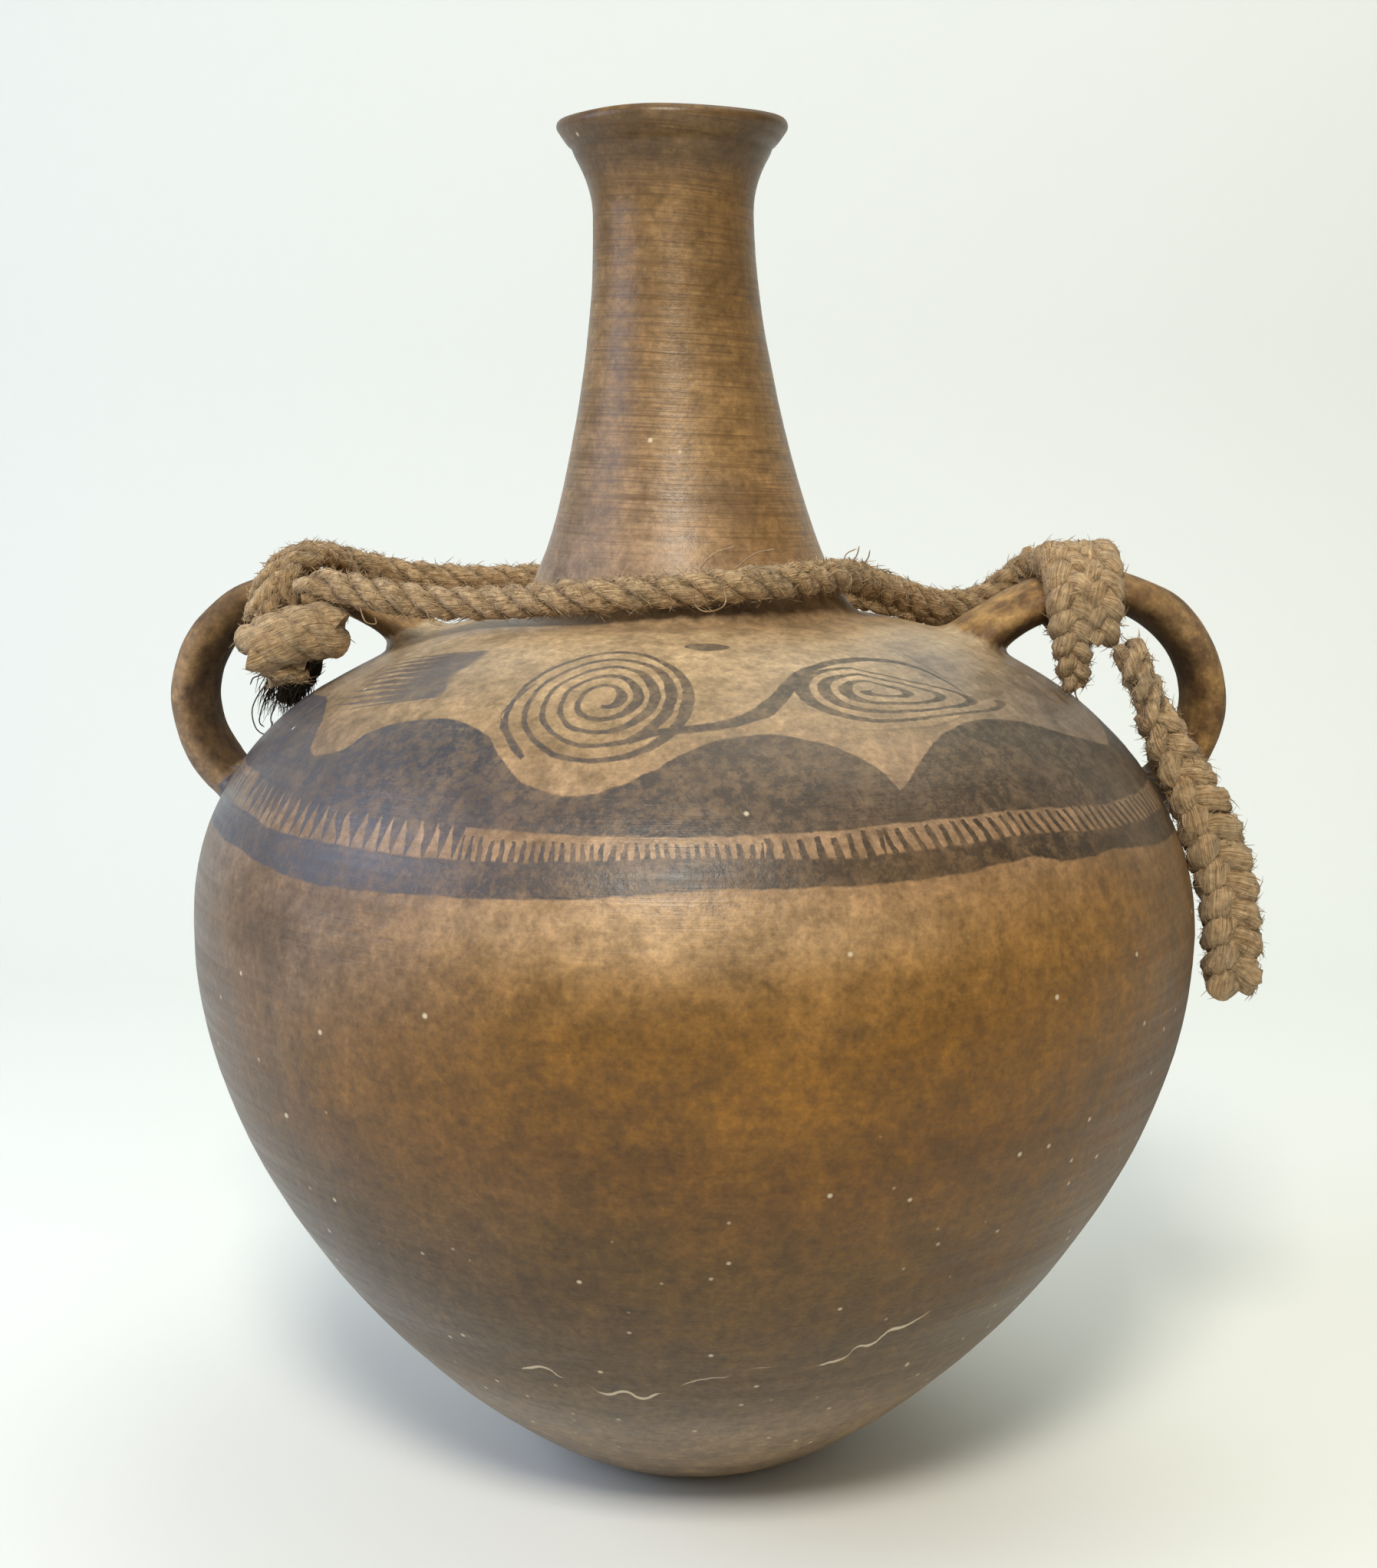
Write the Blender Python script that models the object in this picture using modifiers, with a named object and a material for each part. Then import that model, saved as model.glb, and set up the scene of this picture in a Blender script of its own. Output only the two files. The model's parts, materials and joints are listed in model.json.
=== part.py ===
"""Spouted jar: a hollow earthenware vessel with a tall flaring neck and two strap handles,
and the plant-fibre rope that is tied from handle to handle round the foot of the neck.

Metres, +Z up. The origin is on the floor under the middle of the jar. +X is the right handle,
and the painted front faces -Y.
"""

import math

import bmesh
import bpy
from mathutils import Matrix, Vector

COLLECTION_NAME = "spouted_jar"
CUTTER_COLLECTION_NAME = "spouted_jar_cutters"

# Vessel outline, radius from the axis and height above the floor
BASE_RADIUS = 0.0315
BELLY_RADIUS = 0.1377
BELLY_HEIGHT = 0.154
FOOT_RADIUS = 0.0505
FOOT_HEIGHT = 0.2377
THROAT_RADIUS = 0.0216
THROAT_HEIGHT = 0.345
LIP_RADIUS = 0.0307
LIP_HEIGHT = 0.3665

# Directions of the outline in degrees above the horizontal
BASE_SLOPE = 18.0
SHOULDER_SLOPE = 8.0
LIP_SLOPE = 54.0

# How full each stretch of the outline is: its start and its end, as shares of its run or rise
WALL_FULLNESS = (0.24, 0.52)
SHOULDER_FULLNESS = (0.6, 0.49)
NECK_FULLNESS = (0.48, 0.36)
LIP_FULLNESS = (0.46, 0.31)

# Wall
BODY_WALL = 0.0065
LIP_THICKNESS = 0.004
FLOOR_FLAT_SHARE = 0.55
HANDLE_DEPTH_SHARE = 0.55
CORE_BASE_HEIGHT = 0.02

# The hand-built neck leans a little to the left
NECK_LEAN = 0.0057

# Handles: thickness across the strap and its width round the jar
HANDLE_THICKNESS = 0.012
HANDLE_WIDTH = 0.027
HANDLE_REACH = 0.0105
HANDLE_BEND_HEIGHT = 0.213
HANDLE_CREST_RADIUS = 0.109
HANDLE_CREST_HEIGHT = 0.2445
HANDLE_TOP_ROOT_HEIGHT = 0.225
HANDLE_LOW_ROOT_HEIGHT = 0.176
HANDLE_ROOT_FLARE = 1.35
HANDLE_TOP_ROOT_SLOPE = 48.0
HANDLE_LOW_ROOT_SLOPE = 40.0
ARM_FULLNESS = (0.6, 0.55)
BEND_FULLNESS = 0.56
DROP_FULLNESS = (0.45, 0.4)
LEFT_HANDLE_BACK_TURN = 6.0
RIGHT_HANDLE_BACK_TURN = 2.0

# Rope
ROPE_DIAMETER = 0.0105
TAIL_TOP_DIAMETER = 0.0105
TAIL_DIAMETER = 0.0145
STUB_DIAMETER = 0.014
LOBE_DIAMETER = 0.0115
ROPE_GAP = 0.001
TAIL_TAPER_SHARE = 0.4

# Where the turns of rope lie on each handle, as shares of the way along its strap
LEFT_TURN_SHARES = (0.300, 0.367)
RIGHT_TURN_SHARES = (0.282, 0.355)

# The mesh's fineness
TURN_STEPS = 48
CURVE_STEPS = 9
HANDLE_STEPS = 6
RING_STEPS = 16
SIDE_RESOLUTION = 2

# Front strand, from the left knot across the foot of the neck to the right knot
FRONT_ROUTE = (
    (-0.0965, -0.0135, 0.2462),
    (-0.0870, -0.0180, 0.2446),
    (-0.0710, -0.0235, 0.2427),
    (-0.0555, -0.0294, 0.2428),
    (-0.0416, -0.0386, 0.2442),
    (-0.0297, -0.0440, 0.2453),
    (-0.0169, -0.0472, 0.2464),
    (-0.0072, -0.0482, 0.2472),
    (0.0028, -0.0477, 0.2478),
    (0.0129, -0.0453, 0.2485),
    (0.0249, -0.0387, 0.2492),
    (0.0345, -0.0284, 0.2496),
    (0.0422, -0.0147, 0.2488),
    (0.0487, 0.0000, 0.2460),
    (0.0588, 0.0130, 0.2420),
    (0.0700, 0.0215, 0.2386),
    (0.0800, 0.0270, 0.2388),
    (0.0870, 0.0268, 0.2425),
    (0.0930, 0.0255, 0.2470),
)

# Back strand, from the left knot behind the neck to the right knot
BACK_ROUTE = (
    (-0.0945, 0.0310, 0.2520),
    (-0.0850, 0.0335, 0.2496),
    (-0.0730, 0.0352, 0.2482),
    (-0.0600, 0.0392, 0.2474),
    (-0.0460, 0.0445, 0.2464),
    (-0.0300, 0.0487, 0.2455),
    (-0.0150, 0.0512, 0.2447),
    (0.0000, 0.0518, 0.2442),
    (0.0150, 0.0500, 0.2438),
    (0.0300, 0.0466, 0.2431),
    (0.0450, 0.0426, 0.2411),
    (0.0580, 0.0400, 0.2382),
    (0.0700, 0.0395, 0.2356),
    (0.0800, 0.0405, 0.2364),
    (0.0890, 0.0392, 0.2434),
    (0.0982, 0.0322, 0.2545),
)

# Tail, from under the right knot down outside the belly
TAIL_ROUTE = (
    (0.1158, -0.0186, 0.2308),
    (0.1202, -0.0200, 0.2205),
    (0.1262, -0.0212, 0.2065),
    (0.1328, -0.0220, 0.1940),
    (0.1385, -0.0220, 0.1820),
    (0.1430, -0.0216, 0.1700),
    (0.1452, -0.0212, 0.1590),
    (0.1463, -0.0208, 0.1480),
    (0.1465, -0.0205, 0.1370),
)

# Doubled stub in front of the left knot
LEFT_STUB_ROUTE = (
    (-0.0985, -0.0105, 0.2325),
    (-0.1060, -0.0130, 0.2320),
    (-0.1135, -0.0140, 0.2295),
    (-0.1205, -0.0130, 0.2262),
)

# The right knot's two lobes, from their ends above the arm down its front
INNER_LOBE_ROUTE = (
    (0.1025, -0.0050, 0.2600),
    (0.1030, -0.0132, 0.2560),
    (0.1038, -0.0182, 0.2480),
    (0.1048, -0.0182, 0.2375),
    (0.1060, -0.0160, 0.2275),
)
OUTER_LOBE_ROUTE = (
    (0.1132, -0.0050, 0.2600),
    (0.1132, -0.0132, 0.2552),
    (0.1132, -0.0182, 0.2475),
    (0.1136, -0.0186, 0.2395),
)


def polar(angle, length):
    """A step of the given length, in the plane of radius and height."""
    turn = math.radians(angle)
    return Vector((math.cos(turn) * length, math.sin(turn) * length))


def bezier(start, start_handle, end_handle, end, steps):
    """Points of one cubic curve from its start, without its end."""
    points = []
    for step in range(steps):
        t = step / steps
        s = 1.0 - t
        point = start * s ** 3 + start_handle * 3 * s * s * t
        points.append(point + end_handle * 3 * s * t * t + end * t ** 3)
    return points


def outer_outline():
    """The vessel's outside in radius and height, from the base's edge up to the lip."""
    base = Vector((BASE_RADIUS, 0.0))
    belly = Vector((BELLY_RADIUS, BELLY_HEIGHT))
    foot = Vector((FOOT_RADIUS, FOOT_HEIGHT))
    throat = Vector((THROAT_RADIUS, THROAT_HEIGHT))
    lip = Vector((LIP_RADIUS, LIP_HEIGHT))
    shoulder_rise = FOOT_HEIGHT - BELLY_HEIGHT
    shoulder_run = BELLY_RADIUS - FOOT_RADIUS
    neck_rise = THROAT_HEIGHT - FOOT_HEIGHT
    lip_rise = LIP_HEIGHT - THROAT_HEIGHT
    inward = 180.0 - SHOULDER_SLOPE
    points = bezier(
        base,
        base + polar(BASE_SLOPE, (BELLY_RADIUS - BASE_RADIUS) * WALL_FULLNESS[0]),
        belly - Vector((0.0, BELLY_HEIGHT * WALL_FULLNESS[1])),
        belly,
        CURVE_STEPS + 2,
    )
    points += bezier(
        belly,
        belly + Vector((0.0, shoulder_rise * SHOULDER_FULLNESS[0])),
        foot - polar(inward, shoulder_run * SHOULDER_FULLNESS[1]),
        foot,
        CURVE_STEPS + 2,
    )
    points += bezier(
        foot,
        foot + polar(inward, (FOOT_RADIUS - THROAT_RADIUS) * NECK_FULLNESS[0]),
        throat - Vector((0.0, neck_rise * NECK_FULLNESS[1])),
        throat,
        CURVE_STEPS,
    )
    points += bezier(
        throat,
        throat + Vector((0.0, lip_rise * LIP_FULLNESS[0])),
        lip - polar(LIP_SLOPE, lip_rise * LIP_FULLNESS[1]),
        lip,
        CURVE_STEPS // 2,
    )
    points.append(lip)
    return points


def wall_at(height):
    """The wall, thick in the body and drawn out thinner up the neck."""
    share = (height - FOOT_HEIGHT) / (LIP_HEIGHT - FOOT_HEIGHT)
    share = min(max(share, 0.0), 1.0)
    return BODY_WALL + (LIP_THICKNESS - BODY_WALL) * share


def offset_inward(points, share=1.0):
    """The outline moved inward by a share of the wall."""
    moved = []
    for index, point in enumerate(points):
        before = points[max(index - 1, 0)]
        after = points[min(index + 1, len(points) - 1)]
        along = (after - before).normalized()
        moved.append(point + Vector((-along.y, along.x)) * wall_at(point.y) * share)
    return moved


def lip_round(outside, inside, steps=4):
    """The rounded lip between the last points of the outside and the inside."""
    middle = (outside + inside) / 2
    across = (outside - inside) / 2
    up = Vector((-across.y, across.x))
    if up.y < 0:
        up = -up
    points = []
    for step in range(1, steps):
        turn = math.pi * step / steps
        points.append(middle + across * math.cos(turn) + up * math.sin(turn))
    return points


def lean_at(height):
    """How far the neck's middle stands to the left of the base's at a height."""
    share = (height - BELLY_HEIGHT) / (THROAT_HEIGHT - BELLY_HEIGHT)
    return -NECK_LEAN * min(max(share, 0.0), 1.05)


def outer_radius_at(height):
    """The vessel's radius at a height between the base and the foot of the neck."""
    outline = outer_outline()
    for low, high in zip(outline, outline[1:]):
        if low.y <= height <= high.y:
            share = (height - low.y) / (high.y - low.y)
            return low.x + (high.x - low.x) * share
    return outline[-1].x


def material(name, colour, roughness):
    """A plain finish for one sub-part."""
    made = bpy.data.materials.new(name)
    made.use_nodes = True
    shader = made.node_tree.nodes["Principled BSDF"]
    shader.inputs["Base Color"].default_value = (*colour, 1.0)
    shader.inputs["Roughness"].default_value = roughness
    shader.inputs["Metallic"].default_value = 0.0
    made.diffuse_color = (*colour, 1.0)
    return made


def new_collection(name):
    """A collection under the scene's own."""
    made = bpy.data.collections.new(name)
    bpy.context.scene.collection.children.link(made)
    return made


def mesh_object(name, mesh, collection):
    """An object for a mesh."""
    made = bpy.data.objects.new(name, mesh)
    collection.objects.link(made)
    return made


def evaluated_mesh(source, weld=0.00001):
    """The object's final mesh in world space, welded. The object itself is removed."""
    bpy.context.view_layer.update()
    graph = bpy.context.evaluated_depsgraph_get()
    mesh = bpy.data.meshes.new_from_object(source.evaluated_get(graph))
    mesh.transform(source.matrix_world)
    bpy.data.objects.remove(source, do_unlink=True)
    shape = bmesh.new()
    shape.from_mesh(mesh)
    bmesh.ops.remove_doubles(shape, verts=shape.verts, dist=weld)
    bmesh.ops.recalc_face_normals(shape, faces=shape.faces)
    shape.to_mesh(mesh)
    shape.free()
    return mesh


def turned_mesh(name, outline, collection):
    """A body turned from an outline that runs down its outer side, leaned like the jar."""
    line = bmesh.new()
    corners = [line.verts.new((point.x, 0.0, point.y)) for point in outline]
    for one, other in zip(corners, corners[1:]):
        line.edges.new((one, other))
    mesh = bpy.data.meshes.new(name)
    line.to_mesh(mesh)
    line.free()
    profile = mesh_object(name + "_profile", mesh, collection)
    screw = profile.modifiers.new("turn", "SCREW")
    screw.axis = "Z"
    screw.angle = math.tau
    screw.steps = TURN_STEPS
    screw.render_steps = TURN_STEPS
    screw.use_merge_vertices = True
    screw.merge_threshold = 0.00005
    turned = evaluated_mesh(profile)
    for corner in turned.vertices:
        corner.co.x += lean_at(corner.co.z)
    return turned


def smooth_route(points, spacing):
    """Points at about one spacing along a smooth curve through the given points."""
    route = [Vector(point) for point in points]
    route = [route[0] * 2 - route[1]] + route + [route[-1] * 2 - route[-2]]
    fine = []
    for index in range(1, len(route) - 2):
        before, start, end, after = route[index - 1:index + 3]
        count = max(1, round((end - start).length / spacing))
        for step in range(count):
            t = step / count
            linear = (end - before) * t
            square = (before * 2 - start * 5 + end * 4 - after) * t * t
            cube = (start * 3 - end * 3 + after - before) * t ** 3
            fine.append(start + (linear + square + cube) / 2)
    fine.append(route[-2])
    return fine


def tube_curve(name, points, radius, collection, closed=False, scales=None):
    """A round tube along points, with filled ends unless it is closed."""
    curve = bpy.data.curves.new(name, "CURVE")
    curve.dimensions = "3D"
    curve.bevel_depth = radius
    curve.bevel_resolution = SIDE_RESOLUTION
    curve.use_fill_caps = not closed
    spline = curve.splines.new("POLY")
    spline.points.add(len(points) - 1)
    spline.use_cyclic_u = closed
    for index, (corner, point) in enumerate(zip(spline.points, points)):
        corner.co = (*point, 1.0)
        corner.radius = scales[index] if scales else 1.0
    made = bpy.data.objects.new(name, curve)
    collection.objects.link(made)
    return made


def handle_line():
    """The middle line of the strap in radius and height, from its top root to its low root."""
    outermost = BELLY_RADIUS + HANDLE_REACH - HANDLE_THICKNESS / 2
    depth = BODY_WALL + HANDLE_THICKNESS
    top_root = Vector((outer_radius_at(HANDLE_TOP_ROOT_HEIGHT) - depth, HANDLE_TOP_ROOT_HEIGHT))
    low_root = Vector((outer_radius_at(HANDLE_LOW_ROOT_HEIGHT) - depth, HANDLE_LOW_ROOT_HEIGHT))
    crest = Vector((HANDLE_CREST_RADIUS, HANDLE_CREST_HEIGHT))
    bend = Vector((outermost, HANDLE_BEND_HEIGHT))
    rise = HANDLE_CREST_HEIGHT - HANDLE_TOP_ROOT_HEIGHT
    drop = HANDLE_CREST_HEIGHT - HANDLE_BEND_HEIGHT
    fall = HANDLE_BEND_HEIGHT - HANDLE_LOW_ROOT_HEIGHT
    run = outermost - HANDLE_CREST_RADIUS
    line = bezier(
        top_root,
        top_root + polar(HANDLE_TOP_ROOT_SLOPE, rise * ARM_FULLNESS[0]),
        crest - Vector((rise * ARM_FULLNESS[1], 0.0)),
        crest,
        HANDLE_STEPS,
    )
    line += bezier(
        crest,
        crest + Vector((run * BEND_FULLNESS, 0.0)),
        bend + Vector((0.0, drop * BEND_FULLNESS)),
        bend,
        HANDLE_STEPS,
    )
    line += bezier(
        bend,
        bend - Vector((0.0, fall * DROP_FULLNESS[0])),
        low_root + polar(HANDLE_LOW_ROOT_SLOPE, fall * DROP_FULLNESS[1]),
        low_root,
        HANDLE_STEPS,
    )
    line.append(low_root)
    return line


def side_matrix(side, back_turn):
    """Turns a handle that is built at +X into its place: side is 1 right or -1 left."""
    angle = math.radians(back_turn)
    if side < 0:
        angle = math.pi - angle
    return Matrix.Rotation(angle, 4, "Z")


def handle_form(name, side, back_turn, core, collection):
    """One strap handle, trimmed inside the wall by the vessel's core."""
    line = handle_line()
    last = len(line) - 1
    scales = []
    for index in range(len(line)):
        share = min(index, last - index) / HANDLE_STEPS
        flare = max(0.0, 1.0 - share) ** 2
        scales.append(1.0 + (HANDLE_ROOT_FLARE - 1.0) * flare)
    points = [(point.x, 0.0, point.y) for point in line]
    radius = HANDLE_THICKNESS / 2
    tube = tube_curve(name + "_tube", points, radius, collection, scales=scales)
    mesh = evaluated_mesh(tube)
    mesh.transform(Matrix.Diagonal((1.0, HANDLE_WIDTH / HANDLE_THICKNESS, 1.0, 1.0)))
    mesh.transform(side_matrix(side, back_turn))
    form = mesh_object(name, mesh, collection)
    trim = form.modifiers.new("trim inside the wall", "BOOLEAN")
    trim.operation = "DIFFERENCE"
    trim.object = core
    as_cutter(form)
    return form


def as_cutter(thing):
    """Marks an object as a guide that is not part of the jar."""
    thing.hide_render = True
    thing.display_type = "WIRE"


def ring_round_handle(name, side, back_turn, share, radius, collection):
    """One turn of rope round the strap, at a share of the way along its line."""
    line = handle_line()
    position = share * (len(line) - 1)
    index = min(int(position), len(line) - 2)
    middle = line[index].lerp(line[index + 1], position - index)
    along = (line[index + 1] - line[index]).normalized()
    across = Vector((-along.y, along.x))
    thick = HANDLE_THICKNESS / 2 + ROPE_GAP + radius
    wide = HANDLE_WIDTH / 2 + ROPE_GAP + radius
    place = side_matrix(side, back_turn)
    points = []
    for step in range(RING_STEPS):
        turn = math.tau * step / RING_STEPS
        flat = middle + across * math.cos(turn) * thick
        points.append(place @ Vector((flat.x, math.sin(turn) * wide, flat.y)))
    return tube_curve(name, points, radius, collection, closed=True)


def joined(name, forms, cutters, parts):
    """One solid from several forms that really touch."""
    first = mesh_object(name, evaluated_mesh(forms[0]), parts)
    for number, form in enumerate(forms[1:]):
        mesh = evaluated_mesh(form)
        other = mesh_object(f"{name}_form_{number}", mesh, cutters)
        as_cutter(other)
        union = first.modifiers.new(f"join {number}", "BOOLEAN")
        union.operation = "UNION"
        union.object = other
    return first


def make_jar(parts, cutters):
    """The fired vessel with both handles, one solid with an open mouth."""
    outside = outer_outline()
    inside = offset_inward(outside)
    inside = [point for point in inside[::2] if point.y > BODY_WALL * 1.05]
    floor = Vector((inside[0].x * FLOOR_FLAT_SHARE, BODY_WALL))
    middle = Vector((0.0, BODY_WALL))
    turned = [middle, floor] + inside
    turned += reversed(lip_round(outside[-1], inside[-1]))
    turned += reversed(outside)
    turned.append(Vector((0.0, 0.0)))
    jar = mesh_object("jar", turned_mesh("jar", turned, cutters), parts)

    in_wall = offset_inward(outside, HANDLE_DEPTH_SHARE)
    mid_wall = [point for point in in_wall if CORE_BASE_HEIGHT < point.y < FOOT_HEIGHT]
    top = Vector((0.0, mid_wall[-1].y))
    bottom = Vector((0.0, mid_wall[0].y))
    core_outline = [top] + list(reversed(mid_wall)) + [bottom]
    core = mesh_object("vessel_core", turned_mesh("vessel_core", core_outline, cutters), cutters)
    as_cutter(core)
    for name, side, back_turn in (
        ("left_handle_form", -1, LEFT_HANDLE_BACK_TURN),
        ("right_handle_form", 1, RIGHT_HANDLE_BACK_TURN),
    ):
        form = handle_form(name, side, back_turn, core, cutters)
        join = jar.modifiers.new("join " + name, "BOOLEAN")
        join.operation = "UNION"
        join.object = form
    jar.data.materials.append(material("burnished_earthenware", (0.33, 0.19, 0.085), 0.42))
    return jar


def make_strand(name, route, diameter, parts, finish, tapered_top=None):
    """One stretch of rope as a plain tube."""
    points = smooth_route(route, diameter)
    scales = None
    if tapered_top:
        start, reach = tapered_top
        scales = []
        for index in range(len(points)):
            share = min(1.0, index / (len(points) - 1) / reach)
            scales.append((start + (diameter - start) * share) / diameter)
    strand = tube_curve(name, points, diameter / 2, parts, scales=scales)
    strand.data.materials.append(finish)
    return strand


def make_left_knot(parts, cutters, finish):
    """Two turns round the left handle's upper arm, with a doubled stub in front of them."""
    radius = ROPE_DIAMETER / 2
    turn = LEFT_HANDLE_BACK_TURN
    forms = []
    for name, share in zip(("left_turn_inner", "left_turn_outer"), LEFT_TURN_SHARES):
        forms.append(ring_round_handle(name, -1, turn, share, radius, cutters))
    points = smooth_route(LEFT_STUB_ROUTE, STUB_DIAMETER / 2)
    forms.append(tube_curve("left_stub", points, STUB_DIAMETER / 2, cutters))
    knot = joined("rope_knot_left", forms, cutters, parts)
    knot.data.materials.append(finish)
    return knot


def make_right_knot(parts, cutters, finish):
    """Two turns round the right handle's upper arm, whose ends stand up above it."""
    radius = ROPE_DIAMETER / 2
    turn = RIGHT_HANDLE_BACK_TURN
    forms = []
    for name, share in zip(("right_turn_inner", "right_turn_outer"), RIGHT_TURN_SHARES):
        forms.append(ring_round_handle(name, 1, turn, share, radius, cutters))
    for name, route in (("inner_lobe", INNER_LOBE_ROUTE), ("outer_lobe", OUTER_LOBE_ROUTE)):
        points = smooth_route(route, LOBE_DIAMETER / 2)
        forms.append(tube_curve(name, points, LOBE_DIAMETER / 2, cutters))
    knot = joined("rope_knot_right", forms, cutters, parts)
    knot.data.materials.append(finish)
    return knot


def clear_scene():
    """Empties the scene."""
    for thing in list(bpy.data.objects):
        bpy.data.objects.remove(thing, do_unlink=True)


def main():
    clear_scene()
    parts = new_collection(COLLECTION_NAME)
    cutters = new_collection(CUTTER_COLLECTION_NAME)
    make_jar(parts, cutters)
    fibre = material("plant_fibre_rope", (0.42, 0.27, 0.15), 0.95)
    tail_top = (TAIL_TOP_DIAMETER, TAIL_TAPER_SHARE)
    make_strand("rope_front", FRONT_ROUTE, ROPE_DIAMETER, parts, fibre)
    make_strand("rope_back", BACK_ROUTE, ROPE_DIAMETER, parts, fibre)
    make_strand("rope_tail", TAIL_ROUTE, TAIL_DIAMETER, parts, fibre, tail_top)
    make_left_knot(parts, cutters, fibre)
    make_right_knot(parts, cutters, fibre)


main()
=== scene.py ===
"""Looks of the spouted jar: smoked and painted clay, and a hairy rope tied to its handles."""

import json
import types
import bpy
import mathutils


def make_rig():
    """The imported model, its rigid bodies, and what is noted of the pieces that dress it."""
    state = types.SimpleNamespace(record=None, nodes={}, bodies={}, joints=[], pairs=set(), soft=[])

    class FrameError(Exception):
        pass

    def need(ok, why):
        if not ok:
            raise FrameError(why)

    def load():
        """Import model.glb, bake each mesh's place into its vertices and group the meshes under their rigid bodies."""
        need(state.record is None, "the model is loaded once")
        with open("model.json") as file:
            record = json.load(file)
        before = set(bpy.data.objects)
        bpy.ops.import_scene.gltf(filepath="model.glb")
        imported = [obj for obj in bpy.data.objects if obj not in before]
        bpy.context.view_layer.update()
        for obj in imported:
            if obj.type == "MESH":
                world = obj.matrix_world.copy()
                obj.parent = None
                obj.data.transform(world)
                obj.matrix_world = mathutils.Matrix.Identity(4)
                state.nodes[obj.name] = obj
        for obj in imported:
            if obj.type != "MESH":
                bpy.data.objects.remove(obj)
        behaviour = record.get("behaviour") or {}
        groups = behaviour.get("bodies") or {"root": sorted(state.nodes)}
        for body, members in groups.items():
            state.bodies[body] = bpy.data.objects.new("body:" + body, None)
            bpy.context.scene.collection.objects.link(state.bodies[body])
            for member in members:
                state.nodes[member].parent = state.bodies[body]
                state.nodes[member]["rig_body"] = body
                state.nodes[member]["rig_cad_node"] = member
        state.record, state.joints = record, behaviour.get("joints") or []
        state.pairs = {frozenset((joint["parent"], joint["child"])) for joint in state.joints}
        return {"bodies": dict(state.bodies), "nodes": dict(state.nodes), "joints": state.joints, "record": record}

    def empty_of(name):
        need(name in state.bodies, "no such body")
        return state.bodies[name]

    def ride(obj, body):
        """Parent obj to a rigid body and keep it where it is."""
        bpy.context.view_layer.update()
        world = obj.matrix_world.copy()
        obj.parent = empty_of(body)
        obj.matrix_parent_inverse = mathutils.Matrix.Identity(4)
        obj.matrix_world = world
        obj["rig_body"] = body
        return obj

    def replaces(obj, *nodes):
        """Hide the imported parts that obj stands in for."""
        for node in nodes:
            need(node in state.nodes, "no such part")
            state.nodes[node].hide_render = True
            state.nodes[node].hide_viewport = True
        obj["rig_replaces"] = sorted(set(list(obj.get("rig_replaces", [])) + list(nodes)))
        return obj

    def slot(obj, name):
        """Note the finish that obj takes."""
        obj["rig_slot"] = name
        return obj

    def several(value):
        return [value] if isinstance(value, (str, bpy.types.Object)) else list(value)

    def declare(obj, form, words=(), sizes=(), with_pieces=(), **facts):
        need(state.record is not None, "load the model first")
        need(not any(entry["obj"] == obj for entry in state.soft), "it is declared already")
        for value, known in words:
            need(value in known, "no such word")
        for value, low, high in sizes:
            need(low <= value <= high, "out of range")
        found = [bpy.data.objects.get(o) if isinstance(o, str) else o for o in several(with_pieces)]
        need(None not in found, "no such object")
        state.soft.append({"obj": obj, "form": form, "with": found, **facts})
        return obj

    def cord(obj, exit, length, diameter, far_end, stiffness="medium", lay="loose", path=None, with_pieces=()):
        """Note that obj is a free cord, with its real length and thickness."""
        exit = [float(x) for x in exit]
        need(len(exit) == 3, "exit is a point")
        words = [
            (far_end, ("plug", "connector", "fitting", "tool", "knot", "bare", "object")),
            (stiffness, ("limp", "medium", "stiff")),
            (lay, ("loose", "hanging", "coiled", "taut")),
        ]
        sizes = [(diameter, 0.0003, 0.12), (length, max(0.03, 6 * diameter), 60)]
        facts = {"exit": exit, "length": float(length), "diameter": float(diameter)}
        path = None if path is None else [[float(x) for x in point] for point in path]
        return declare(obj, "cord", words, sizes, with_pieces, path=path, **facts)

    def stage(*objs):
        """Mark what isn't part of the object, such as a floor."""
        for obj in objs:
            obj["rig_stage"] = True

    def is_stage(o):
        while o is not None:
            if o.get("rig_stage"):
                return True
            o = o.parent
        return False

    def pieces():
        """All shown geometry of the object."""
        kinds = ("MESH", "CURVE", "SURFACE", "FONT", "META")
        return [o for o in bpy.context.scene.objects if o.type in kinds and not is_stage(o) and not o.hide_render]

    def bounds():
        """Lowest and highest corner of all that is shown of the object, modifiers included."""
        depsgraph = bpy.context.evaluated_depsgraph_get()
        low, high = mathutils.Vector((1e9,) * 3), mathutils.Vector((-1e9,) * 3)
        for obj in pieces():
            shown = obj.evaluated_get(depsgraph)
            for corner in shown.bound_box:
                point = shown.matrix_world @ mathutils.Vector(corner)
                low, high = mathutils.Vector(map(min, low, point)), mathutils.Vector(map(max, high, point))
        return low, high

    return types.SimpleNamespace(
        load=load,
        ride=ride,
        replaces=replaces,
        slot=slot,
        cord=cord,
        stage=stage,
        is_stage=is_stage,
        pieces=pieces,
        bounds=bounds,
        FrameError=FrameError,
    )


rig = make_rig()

bl_info = {
    "name": "Spouted jar",
    "version": (1, 0, 0),
    "blender": (4, 5, 0),
    "location": "View3D > Sidebar > Jar",
    "description": "Makes the visual model of a hand-built earthenware jar with its rope",
    "category": "Object",
}

import json
import math
from functools import partial
from random import Random

import bmesh
import bpy
from bpy.props import FloatProperty, FloatVectorProperty, IntProperty, PointerProperty
from mathutils import Matrix, Vector, noise
from mathutils.kdtree import KDTree

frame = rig.load()
CAD_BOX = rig.bounds()

MM = 0.001

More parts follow.
